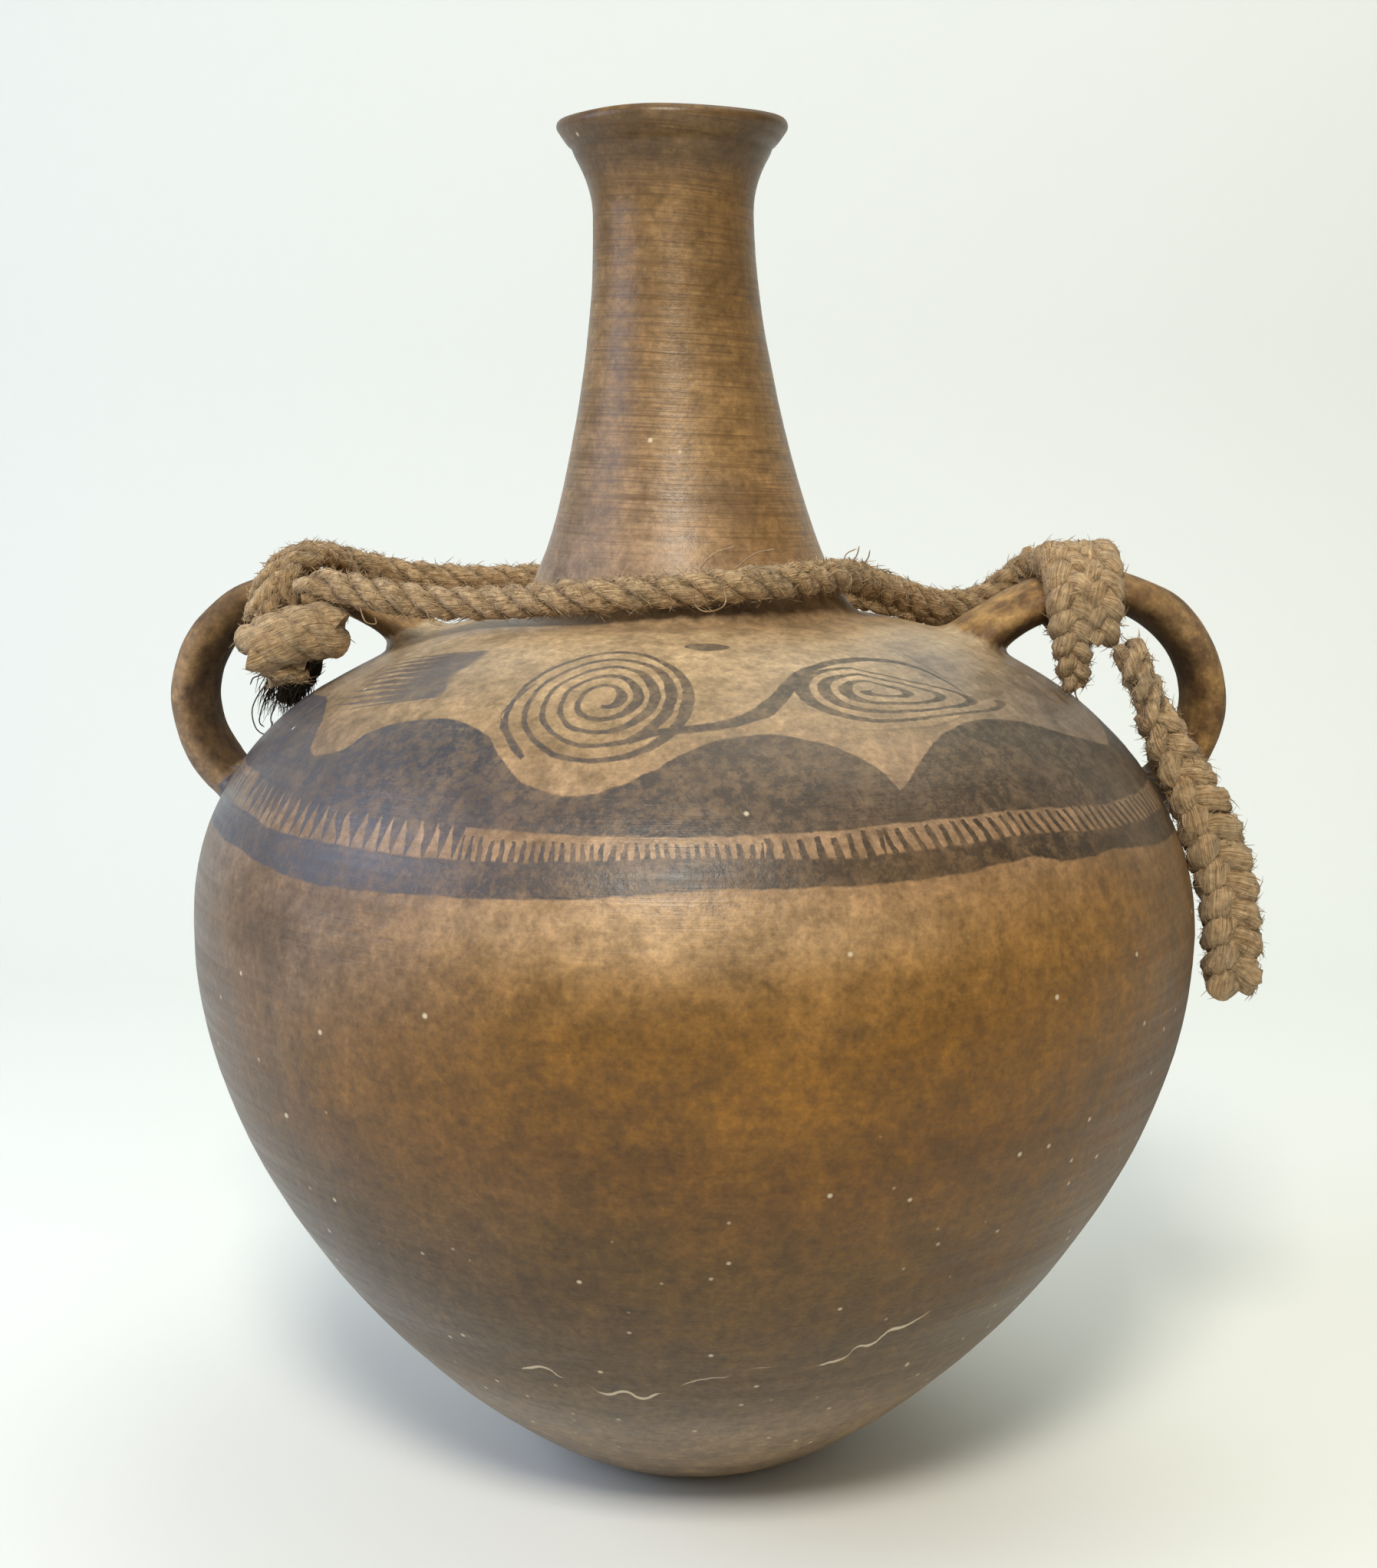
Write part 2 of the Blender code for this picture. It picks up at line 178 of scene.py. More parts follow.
# The jar's outline, in millimetres of radius and height, as four smooth curves
BASE = (31.5, 0.0)
BELLY = (137.7, 154.0)
FOOT = (50.5, 237.7)
THROAT = (21.6, 345.0)
LIP = (30.7, 366.5)
BASE_SLOPE = 18.0
SHOULDER_SLOPE = 8.0
LIP_SLOPE = 54.0
UPRIGHT = 90.0
# How full each of the curves is at its start and at its end, and its steps
CURVE_FULLNESS = ((0.24, 0.52, 60), (0.60, 0.49, 56), (0.48, 0.36, 52), (0.46, 0.31, 18))
CORE_FACETS = 96
WALL = 6.5
LIP_WALL = 4.0
NECK_LEAN = 5.7

# The strap handles' middle line, in radius and height
HANDLE_LINE = (
    (72.1, 225.0), (76.9, 229.5), (82.8, 233.9), (89.5, 238.0), (96.4, 241.4), (103.1, 243.7),
    (109.0, 244.5), (117.9, 243.4), (125.9, 240.3), (132.6, 235.4), (137.7, 229.0),
    (141.0, 221.5), (142.2, 213.0), (141.0, 205.1), (137.9, 198.1), (133.3, 191.8),
    (127.7, 186.1), (121.7, 180.9), (115.8, 176.0),
)
HANDLE_THICK = 12.0
HANDLE_WIDE = 27.0
ROOT_FLARE = 1.5
ROOT_FLARE_LENGTH = 26.0
HANDLE_FACETS = 40
# Each handle's side of the jar and its turn to the back in degrees
HANDLES = {"left": (-1, 6.0), "right": (1, 2.0)}

# The jar's surface in millimetres: how near the outline the outer wall lies, how deep the
# handle's side has slumped, and the groove under the lip
WALL_REACH = 2.4
SLUMP_DEPTH = 1.7
GROOVE_HEIGHT = 361.7
GROOVE_WIDTH = 0.9

# The seams of the handles in millimetres: how far the clay is smeared along the wall and how deep,
# the least reach from the axis, and how often it is smoothed
SEAM_REACH = 27.0
SEAM_DEPTH = 6.0
SEAM_START = 62.0
SMEARS = 14

# The height in metres from which rises up the jar are measured
RISE_FROM = 0.14

# The rope's routes, in metres
FRONT_ROUTE = (
    (-0.0965, -0.0135, 0.2462), (-0.0870, -0.0180, 0.2446), (-0.0710, -0.0235, 0.2427),
    (-0.0555, -0.0294, 0.2428), (-0.0416, -0.0386, 0.2442), (-0.0297, -0.0440, 0.2453),
    (-0.0169, -0.0472, 0.2464), (-0.0072, -0.0482, 0.2472), (0.0028, -0.0477, 0.2478),
    (0.0129, -0.0453, 0.2485), (0.0249, -0.0387, 0.2492), (0.0345, -0.0284, 0.2496),
    (0.0422, -0.0147, 0.2488), (0.0487, 0.0000, 0.2460), (0.0588, 0.0130, 0.2420),
    (0.0700, 0.0215, 0.2386), (0.0800, 0.0270, 0.2388), (0.0870, 0.0268, 0.2425),
    (0.0930, 0.0255, 0.2470),
)
BACK_ROUTE = (
    (-0.0945, 0.0310, 0.2520), (-0.0850, 0.0335, 0.2496), (-0.0730, 0.0352, 0.2482),
    (-0.0600, 0.0392, 0.2474), (-0.0460, 0.0445, 0.2464), (-0.0300, 0.0487, 0.2455),
    (-0.0150, 0.0512, 0.2447), (0.0000, 0.0518, 0.2442), (0.0150, 0.0500, 0.2438),
    (0.0300, 0.0466, 0.2431), (0.0450, 0.0426, 0.2411), (0.0580, 0.0400, 0.2382),
    (0.0700, 0.0395, 0.2356), (0.0800, 0.0405, 0.2364), (0.0890, 0.0392, 0.2434),
    (0.0982, 0.0322, 0.2545),
)
TAIL_ROUTE = (
    (0.1158, -0.0186, 0.2308), (0.1202, -0.0200, 0.2205), (0.1262, -0.0212, 0.2065),
    (0.1328, -0.0220, 0.1940), (0.1385, -0.0220, 0.1820), (0.1430, -0.0216, 0.1700),
    (0.1452, -0.0212, 0.1590), (0.1463, -0.0208, 0.1480), (0.1465, -0.0205, 0.1370),
)
STUB_ROUTE = (
    (-0.0970, -0.0105, 0.2338), (-0.1045, -0.0130, 0.2340), (-0.1120, -0.0140, 0.2318),
    (-0.1195, -0.0130, 0.2285),
)
LUMP_ROUTE = ((-0.1060, -0.0110, 0.2240), (-0.1110, -0.0125, 0.2236), (-0.1160, -0.0120, 0.2228))
TUFT_ROUTE = ((-0.1075, 0.0060, 0.2262), (-0.1105, 0.0062, 0.2200), (-0.1150, 0.0050, 0.2128))
SWEEP_ROUTE = (
    (-0.0925, 0.0315, 0.2485), (-0.1000, 0.0275, 0.2510), (-0.1056, 0.0190, 0.2532),
    (-0.1103, 0.0090, 0.2530), (-0.1143, -0.0010, 0.2498), (-0.1170, -0.0078, 0.2432),
    (-0.1184, -0.0102, 0.2362),
)
START_ROUTE = ((-0.0950, -0.0128, 0.2463), (-0.1010, -0.0112, 0.2462), (-0.1065, -0.0100, 0.2440))
INNER_LOBE_ROUTE = (
    (0.0998, -0.0020, 0.2530), (0.1000, -0.0120, 0.2522), (0.1004, -0.0186, 0.2455),
    (0.1010, -0.0194, 0.2350), (0.1019, -0.0182, 0.2262), (0.1029, -0.0165, 0.2190),
)
OUTER_LOBE_ROUTE = (
    (0.1085, -0.0020, 0.2540), (0.1087, -0.0120, 0.2528), (0.1088, -0.0186, 0.2460),
    (0.1090, -0.0196, 0.2378), (0.1084, -0.0188, 0.2322),
)

# The knots: turns round the strap with their place along it and how far they slant, then
# twisted ends and plaited lobes with their width at both ends in millimetres
KNOTS = {
    "left": (
        ((0.312, 0.7),),
        ((SWEEP_ROUTE, 10.5, 11.0), (START_ROUTE, 10.5, 10.0), (STUB_ROUTE, 18.5, 18.5),
         (LUMP_ROUTE, 9.0, 11.0), (TUFT_ROUTE, 11.0, 6.0)),
        (),
    ),
    "right": (
        ((0.255, 0.0), (0.330, 0.0)),
        (),
        ((INNER_LOBE_ROUTE, 14.5, 7.0), (OUTER_LOBE_ROUTE, 13.0, 11.0)),
    ),
}
# Plies that lie in the shade of the others, drawn darker as painted shade, by their number in the knot
SHADED_LINES = {"left": range(16, 19), "right": ()}

# The rope's making: metres between points along it, how finely its plies and hairs are rounded,
# how coarse its ruffle is, and the fibres' winding round a ply in radians to a metre
SPACING = 0.9 * MM
ROPE_FINENESS = 5
ROPE_SIDES = 14
HAIR_SIDES = 4
RUFFLE_SCALE = 520.0
FIBRE_TWIST = 260.0
PLY_OFFSET = 0.38
PLY_REACH = 0.86
PRESSED_RADIUS = 3.0
STRAP_GAP = 0.3
# How far in shaded plies and fibres count, which darkens them as painted shade
SHADED_OUTNESS = 0.42
# How far a ply, a turn round a handle, a lobe and the tail's start go forward to a full winding
STRAND_PITCH = 24.0
TURN_PITCH = 26.0
LOBE_PITCH = 17.0
TAIL_START_PITCH = 20.0
STANDING_HAIRS = 0.26
TUFT_HAIRS = 260

# Single long fibres that stand off each piece, as points in millimetres
STRAYS = {
    "front": (
        ((-0.2, -54, 247.1), (0, -54, 244.1), (2.4, -54, 242.3), (6.2, -54, 242.9),
         (7.8, -54, 244.8), (7.4, -53, 247.9)),
        ((20, -46, 249.4), (21.6, -46, 247.4), (23.6, -46, 245.3)),
        ((34.7, -36, 250), (37.1, -36, 251.6), (40.1, -36, 250.8), (40.7, -36, 248.4),
         (38.8, -36, 246.6)),
        ((1.2, -46, 252.5), (4.8, -46, 256.4), (10, -46, 258.3)),
        ((10.3, -44, 252.6), (15.4, -44, 256.3), (20.5, -44, 257.5)),
        ((41.4, -18, 251.3), (43.4, -18, 254.8), (44, -18, 257.2)),
        ((39.4, -20, 252.3), (40.4, -21, 255.2), (43, -22, 256.6)),
        ((44.4, -16, 251.3), (46.4, -17, 253.8), (46.9, -18, 256.2)),
        ((-88.8, -24, 241.1), (-87.2, -26, 237.6), (-84.4, -26, 237), (-84.8, -25, 238.7)),
        ((-70.2, -32, 240.6), (-68.6, -34, 237.8), (-65.8, -35, 237.2)),
    ),
    "left": (
        ((-116, 0, 220.7), (-120.1, 0, 216.7), (-122.9, 0, 211.1), (-121.9, 0, 205.7),
         (-118.8, 0, 204.2), (-117.2, 0, 207.9)),
        ((-117.3, 2, 218.4), (-120, 2, 213), (-121.4, 2, 207.6), (-120, 2, 205.9)),
        ((-119.1, -6, 221.3), (-121.2, -6, 220.5), (-122.1, -6, 218.6)),
        ((-115, 3, 218.4), (-117, 3, 212), (-118.4, 3, 208), (-117, 3, 205)),
    ),
    "right": (
        ((99, -26.5, 244.9), (102.8, -27.0, 245.7), (106.9, -26.5, 245.5)),
        ((103.5, -17, 221.0), (102.9, -17, 217.5), (104.0, -17, 215.2)),
        ((102.0, -17, 221.5), (101.2, -17, 217.9), (101.6, -17, 216.2)),
    ),
}

# The camera that took the view
CAMERA_PLACE = (-0.0016, -0.62, 0.2836)
CAMERA_PITCH = 8.57
CAMERA_LENS = 51.517

# Lamps: name, place, what they face, size, watts and tint
LIGHTS = (
    ("left_window", (-1.15, -0.25, 0.70), (0.0, 0.0, 0.12), 0.8, 10.0, "CFE0FF"),
    ("right_bounce", (1.25, -0.45, 0.60), (0.0, 0.0, 0.15), 0.7, 0.4, "FFDDA8"),
    ("front_top", (-0.09, -0.93, 1.02), (0.0, 0.0, 0.20), 0.27, 12.3, "FFF9EC"),
    ("back_wash", (0.50, 0.30, 1.70), (0.50, 0.90, 0.45), 1.2, 10.5, "F8FFFA"),
)
# The sweep in metres: its front, where it starts to bend, the bend, its top and half its width
SWEEP_FRONT = -2.4
SWEEP_BACK = 0.55
SWEEP_BEND = 0.35
SWEEP_TOP = 2.6
SWEEP_HALF = 2.6


class JarSizes(bpy.types.PropertyGroup):
    """What a user may change about the clay."""

    unevenness: FloatProperty(
        name="Unevenness",
        description="How far the hand-built wall swells and dips",
        default=0.5 * MM,
        min=0.0,
        max=2 * MM,
        subtype="DISTANCE",
        unit="LENGTH",
    )
    turns: IntProperty(
        name="Facets round",
        description="How many facets the turned wall has",
        default=240,
        min=64,
        max=320,
    )


class RopeSizes(bpy.types.PropertyGroup):
    """What a user may change about the rope."""

    diameter: FloatProperty(
        name="Diameter",
        description="Thickness of the twisted rope",
        default=10.5 * MM,
        min=6 * MM,
        max=12 * MM,
        subtype="DISTANCE",
        unit="LENGTH",
    )
    tail_diameter: FloatProperty(
        name="Plait width",
        description="Width of the plaited tail",
        default=14.5 * MM,
        min=8 * MM,
        max=16 * MM,
        subtype="DISTANCE",
        unit="LENGTH",
    )
    hairs: IntProperty(
        name="Hairs per centimetre",
        description="How many loose fibres stand off each centimetre of rope",
        default=170,
        min=0,
        max=300,
    )
    fibre: FloatVectorProperty(
        name="Fibre",
        description="Colour of the clean fibre",
        default=(0.64, 0.468, 0.275),
        min=0.0,
        max=1.0,
        subtype="COLOR",
    )


def colour(text):
    """A linear colour with alpha from an sRGB hex value."""
    shares = [int(text[place:place + 2], 16) / 255 for place in (0, 2, 4)]
    linear = [s / 12.92 if s <= 0.04045 else ((s + 0.055) / 1.055) ** 2.4 for s in shares]
    return (*linear, 1.0)


def feed(tree, source, socket):
    """Links a node or one of its outputs to a socket, or sets the socket's value."""
    if isinstance(source, bpy.types.Node):
        source = next(output for output in source.outputs if output.enabled)
    if isinstance(source, bpy.types.NodeSocket):
        tree.links.new(source, socket)
    elif source is not None:
        socket.default_value = source


def add(tree, kind, *sources, **settings):
    """Adds one node with its settings, and feeds its shown sockets in order.

    A kind in capitals is an operation of the Math node.
    """
    if kind.isupper():
        kind, settings = "Math", {"operation": kind}
    made = tree.nodes.new("ShaderNode" + kind)
    for name, value in settings.items():
        setattr(made, name, value)
    sockets = [socket for socket in made.inputs if socket.enabled]
    for socket, source in zip(sockets, sources):
        feed(tree, source, socket)
    return made


def new_material(name, values):
    """A material with its tree and its shader, whose even inputs have the given values."""
    made = bpy.data.materials.new(name)
    made.use_nodes = True
    shader = made.node_tree.nodes["Principled BSDF"]
    for socket, value in values.items():
        shader.inputs[socket].default_value = value
    return made, made.node_tree, shader


def add_relief(tree, shader, relief, strength, depth):
    """Bumps the shader's surface, at most as deep as the given millimetres."""
    bump = add(tree, "Bump")
    bump.inputs["Strength"].default_value = strength
    bump.inputs["Distance"].default_value = depth * MM
    feed(tree, relief, bump.inputs["Height"])
    feed(tree, bump, shader.inputs["Normal"])


def smooth_route(points, spacing):
    """Points at about one spacing along a smooth curve through the given points."""
    route = [Vector(point) for point in points]
    route = [route[0] * 2 - route[1]] + route + [route[-1] * 2 - route[-2]]
    fine = []
    for index in range(1, len(route) - 2):
        before, start, end, after = route[index - 1:index + 3]
        count = max(1, round((end - start).length / spacing))
        for step in range(count):
            t = step / count
            linear = (end - before) * t
            square = (before * 2 - start * 5 + end * 4 - after) * t * t
            cube = (start * 3 - end * 3 + after - before) * t ** 3
            fine.append(start + (linear + square + cube) / 2)
    fine.append(route[-2])
    return fine


def run_length(points):
    """The length along a line of points."""
    return sum((end - start).length for start, end in zip(points, points[1:]))


def carried_frames(points, side):
    """Each point with the run up to it and two directions across the line that don't twist."""
    last = len(points) - 1
    across = Vector(side)
    run = 0.0
    frames = []
    for index, point in enumerate(points):
        along = (points[min(index + 1, last)] - points[max(index - 1, 0)]).normalized()
        across = (across - along * across.dot(along)).normalized()
        if index:
            run += (point - points[index - 1]).length
        frames.append((point, run, across.copy(), along.cross(across)))
    return frames


def bezier(start, start_handle, end_handle, end, steps):
    """Points of one cubic curve from its start, without its end."""
    points = []
    for step in range(steps):
        t = step / steps
        s = 1.0 - t
        point = start * s ** 3 + start_handle * 3 * s * s * t
        points.append(point + end_handle * 3 * s * t * t + end * t ** 3)
    return points


def polar(angle, length):
    """A step of the given length, in the plane of radius and height."""
    turn = math.radians(angle)
    return Vector((math.cos(turn) * length, math.sin(turn) * length))


def outer_outline():
    """The jar's outside in metres of radius and height, from the base's edge up to the lip."""
    base, belly, foot, throat, lip = (Vector(p) * MM for p in (BASE, BELLY, FOOT, THROAT, LIP))
    inward = 180.0 - SHOULDER_SLOPE
    curves = (
        (base, BASE_SLOPE, belly.x - base.x, UPRIGHT, belly.y, belly),
        (belly, UPRIGHT, foot.y - belly.y, inward, belly.x - foot.x, foot),
        (foot, inward, foot.x - throat.x, UPRIGHT, throat.y - foot.y, throat),
        (throat, UPRIGHT, lip.y - throat.y, LIP_SLOPE, lip.y - throat.y, lip),
    )
    points = []
    for curve, (first, last, steps) in zip(curves, CURVE_FULLNESS):
        start, leaving, near, arriving, far, end = curve
        near_start = start + polar(leaving, near * first)
        near_end = end - polar(arriving, far * last)
        points += bezier(start, near_start, near_end, end, steps)
    points.append(lip)
    return points


def inner_outline(outside):
    """The outline moved inward by the wall, which is drawn out thinner up the neck."""
    moved = []
    for index, point in enumerate(outside):
        before = outside[max(index - 1, 0)]
        after = outside[min(index + 1, len(outside) - 1)]
        along = (after - before).normalized()
        share = (point.y / MM - FOOT[1]) / (LIP[1] - FOOT[1])
        wall = WALL + (LIP_WALL - WALL) * min(max(share, 0.0), 1.0)
        moved.append(point + Vector((-along.y, along.x)) * wall * MM)
    return moved


def lean_at(height):
    """How far the neck's middle stands to the left at a height in metres."""
    share = (height / MM - BELLY[1]) / (THROAT[1] - BELLY[1])
    return -NECK_LEAN * MM * min(max(share, 0.0), 1.05)


def spun(name, outline, steps):
    """A closed body spun from an outline that starts and ends on the axis."""
    shape = bmesh.new()
    corners = [shape.verts.new((point.x, 0.0, point.y)) for point in outline]
    edges = [shape.edges.new(pair) for pair in zip(corners, corners[1:])]
    bmesh.ops.spin(
        shape,
        geom=corners + edges,
        cent=(0.0, 0.0, 0.0),
        axis=(0.0, 0.0, 1.0),
        dvec=(0.0, 0.0, 0.0),
        angle=math.tau,
        steps=steps,
        use_merge=True,
        use_duplicate=False,
    )
    bmesh.ops.remove_doubles(shape, verts=shape.verts, dist=0.00001)
    bmesh.ops.recalc_face_normals(shape, faces=shape.faces)
    for corner in shape.verts:
        corner.co.x += lean_at(corner.co.z)
    return finished(name, shape)


def linked(name, data):
    """A new object in the scene for a mesh, curve, lamp or camera."""
    made = bpy.data.objects.new(name, data)
    bpy.context.scene.collection.objects.link(made)
    return made


def finished(name, shape):
    """An object at the origin for a bmesh, with its faces shaded smooth."""
    for face in shape.faces:
        face.smooth = True
    mesh = bpy.data.meshes.new(name)
    shape.to_mesh(mesh)
    shape.free()
    return linked(name, mesh)


def applied(thing):
    """The object's final mesh with its modifiers applied."""
    bpy.context.view_layer.update()
    graph = bpy.context.evaluated_depsgraph_get()
    mesh = bpy.data.meshes.new_from_object(thing.evaluated_get(graph))
    mesh.transform(thing.matrix_world)
    return mesh


def removed(*things):
    """Takes helper objects out of the scene."""
    for thing in things:
        bpy.data.objects.remove(thing, do_unlink=True)


def side_matrix(side, back_turn):
    """Turns a handle that is built at +X into its place."""
    angle = math.radians(back_turn)
    if side < 0:
        angle = math.pi - angle
    return Matrix.Rotation(angle, 4, "Z")


def handle_form(name, side, back_turn, seed):
    """One strap handle, an oval section drawn along its line by hand."""
    corners = [(radius * MM, 0.0, height * MM) for radius, height in HANDLE_LINE]
    line = smooth_route(corners, 1.6 * MM)
    reach = run_length(line)
    shape = bmesh.new()
    made = bmesh.ops.create_circle(shape, segments=HANDLE_FACETS, radius=1.0, cap_ends=True)
    ring = [(corner, corner.co.copy()) for corner in made["verts"]]
    edges = list(shape.edges)
    for point, run, across, beside in carried_frames(line, (0.0, 1.0, 0.0)):
        edge_share = min(run, reach - run) / (ROOT_FLARE_LENGTH * MM)
        flare = 1.0 + (ROOT_FLARE - 1.0) * max(0.0, 1.0 - edge_share) ** 2
        if run > 0.0:
            grown = bmesh.ops.extrude_edge_only(shape, edges=edges)["geom"]
            edges = [part for part in grown if isinstance(part, bmesh.types.BMEdge)]
            new_verts = {part for part in grown if isinstance(part, bmesh.types.BMVert)}
            follow = []
            for corner, flat in ring:
                other = next(
                    edge.other_vert(corner)
                    for edge in corner.link_edges
                    if edge.other_vert(corner) in new_verts
                )
                follow.append((other, flat))
            ring = follow
            edges = [edge for edge in edges if all(v in new_verts for v in edge.verts)]
        for corner, flat in ring:
            wide = across * flat.x * HANDLE_WIDE / 2
            thick = beside * flat.y * HANDLE_THICK / 2
            corner.co = point + (wide + thick) * MM * flare
            swell = noise.noise(corner.co * 70 + Vector((seed, 0.0, 0.0)))
            corner.co += (corner.co - point).normalized() * swell * 0.9 * MM
    bmesh.ops.holes_fill(shape, edges=edges)
    bmesh.ops.recalc_face_normals(shape, faces=shape.faces)
    bmesh.ops.transform(shape, matrix=side_matrix(side, back_turn), verts=shape.verts)
    return finished(name, shape)


def joined_by(target, other, operation):
    """Adds an exact Boolean of one helper object to another."""
    cut = target.modifiers.new(other.name, "BOOLEAN")
    cut.operation = operation
    cut.solver = "EXACT"
    cut.object = other


def surface_distance(outside):
    """A lookup of how near a point is to the jar's outer surface."""
    tree = KDTree(len(outside))
    for index, point in enumerate(outside):
        tree.insert((point.x, point.y, 0.0), index)
    tree.balance()

    def measure(place):
        radius = math.hypot(place.x - lean_at(place.z), place.y)
        return tree.find((radius, place.z, 0.0))[2]

    return measure


# Soft clouds that smoke and fire left, with painted shade among the soot and painted highlights among
# the pale clouds: turn and rise in degrees, spread in degrees, strength.
# Turn 0 is the painted front and grows to the right.
CLOUDS = {
    "soot": (
        # The wide soot at turns 84 and 100 is painted shade on the dim right side, and the thin soot line at turn 8,
        # rise 66.8, is the front strand's painted shadow on the shoulder
        (-92, 38, 16, 5, 0.75), (88, 38, 14, 5, 0.45), (-50, 12.5, 8, 5, 0.60),
        (-42, 16, 14, 3, 0.35), (12, -8, 34, 4, 0.30), (84, -2, 26, 36, 0.85),
        (-30, -24, 26, 9, 0.25), (40, -26, 30, 7, 0.25), (150, 5, 40, 14, 0.45),
        (-140, -20, 36, 16, 0.40), (20, 76, 16, 1.6, 0.5), (40, 66, 14, 6, 0.30),
        (-40, 70, 20, 8, 0.25), (8, 66.8, 36, 2.0, 1.0), (100, -20, 50, 30, 0.3),
        (0, -42, 70, 6, 0.25),
    ),
    "smoke": (
        (-75, 10, 30, 30, 1.0), (-46, 10, 20, 10, 0.75), (-60, -28, 32, 22, 0.85),
        (-20, -52, 50, 10, 0.35), (70, -38, 26, 14, 0.45), (-62, 42, 14, 6, 0.55),
        (64, 37, 21, 9, 1.0), (48, 47, 14, 8, 0.85), (18, 54, 12, 5, 0.3), (34, 44, 9, 4, 0.5),
        (-60, 66, 20, 10, 0.6), (-130, 0, 40, 40, 0.5), (-50, 46, 16, 6, 0.5),
    ),
    "ochre": (
        (18, -4, 30, 9, 0.9), (40, 12, 22, 9, 0.75), (-84, 40, 7, 3, 0.9), (84, 41, 7, 3, 0.9),
        (30, 72, 30, 8, 0.6), (55, -14, 22, 12, 0.5), (170, 20, 40, 14, 0.6),
    ),
    "pale": (
        # The pale clouds at turn 0, rise 15, and at turns -2 and -4 up the neck are painted highlights where the lamp
        # in front shines back
        (0, 15, 24, 4, 0.9), (0, -56, 60, 9, 0.45), (-2, 66, 12, 9, 0.55), (-4, 78, 22, 7, 0.4),
        (0, 45, 30, 6, 0.15), (120, -10, 40, 10, 0.4),
    ),
}


def turn_and_rise(place):
    """Where a point lies round and up the jar, in degrees."""
    turn = math.degrees(math.atan2(place.x, -place.y))
    rise = math.degrees(math.atan2(place.z - RISE_FROM, math.hypot(place.x, place.y)))
    return turn, rise


def cloud_at(place, blobs):
    """How strongly a kind of cloud covers a point."""
    turn, rise = turn_and_rise(place)
    ragged = noise.fractal(place * 26, 0.9, 2.1, 4) * 0.35
    total = 0.0
    for middle, height, wide, tall, strength in blobs:
        around = (turn - middle + 180.0) % 360.0 - 180.0
        far = (around / wide) ** 2 + ((rise - height) / tall) ** 2
        total = max(total, strength * math.exp(-far * (1.0 + ragged)))
    return min(1.0, total)


def lip_crown(lip_out, lip_in):
    """The rounded lip, from its outer edge over to its inner one."""
    middle = (lip_out + lip_in) / 2
    half = (lip_out - lip_in) / 2
    up = Vector((-half.y, half.x))
    if up.y < 0.0:
        up = -up
    turns = [math.pi * step / 10 for step in range(1, 10)]
    return [middle + half * math.cos(turn) + up * math.sin(turn) for turn in turns]


def wall_outline(outside, inside):
    """The whole wall, from the middle of its floor inside to the middle of its base."""
    hollow = [point for point in inside[::3] if point.y > WALL * 1.05 * MM]
    outline = [Vector((0.0, WALL * MM)), Vector((hollow[0].x * 0.55, WALL * MM))] + hollow
    if (hollow[-1] - inside[-1]).length > 0.0001:
        outline.append(inside[-1])
    outline += reversed(lip_crown(outside[-1], inside[-1]))
    outline += reversed(outside)
    return outline + [Vector((outside[0].x * share, 0.0)) for share in (0.96, 0.8, 0.5, 0.0)]


def core_outline(outside, inside):
    """The space inside the middle of the wall, which the handles' roots are cut back to."""
    mid_wall = [a.lerp(b, 0.55) for a, b in zip(outside, inside)]
    mid_wall = [point for point in mid_wall[::4] if 0.02 < point.y < FOOT[1] * MM]
    return [Vector((0.0, mid_wall[0].y))] + mid_wall + [Vector((0.0, mid_wall[-1].y))]


def make_clay_form(facets):
    """The whole fired vessel in one closed mesh, and the outline of its outside."""
    outside = outer_outline()
    inside = inner_outline(outside)
    body = spun("clay_body", wall_outline(outside, inside), facets)
    core = spun("clay_core", core_outline(outside, inside), CORE_FACETS)
    helpers = [body, core]
    for name, (side, back_turn) in HANDLES.items():
        handle = handle_form("clay_handle_" + name, side, back_turn, side * 7.0)
        joined_by(handle, core, "DIFFERENCE")
        trimmed = linked(handle.name + "_trimmed", applied(handle))
        joined_by(body, trimmed, "UNION")
        helpers += [handle, trimmed]
    mesh = applied(body)
    removed(*helpers)
    return mesh, outside


def settle_roots(shape, near_surface):
    """Smears the clay over the seams where the handles were pressed on."""
    seams = []
    for side, back_turn in HANDLES.values():
        place = side_matrix(side, back_turn)
        for radius, height in (HANDLE_LINE[2], HANDLE_LINE[-2]):
            seams.append(place @ Vector((radius * MM, 0.0, height * MM)))
    near = []
    for corner in shape.verts:
        if min((corner.co - seam).length for seam in seams) < SEAM_REACH * MM:
            outside = math.hypot(*corner.co.xy) > SEAM_START * MM
            if outside and near_surface(corner.co) < SEAM_DEPTH * MM:
                near.append(corner)
    for _ in range(SMEARS):
        bmesh.ops.smooth_vert(
            shape, verts=near, factor=0.5, use_axis_x=True, use_axis_y=True, use_axis_z=True
        )


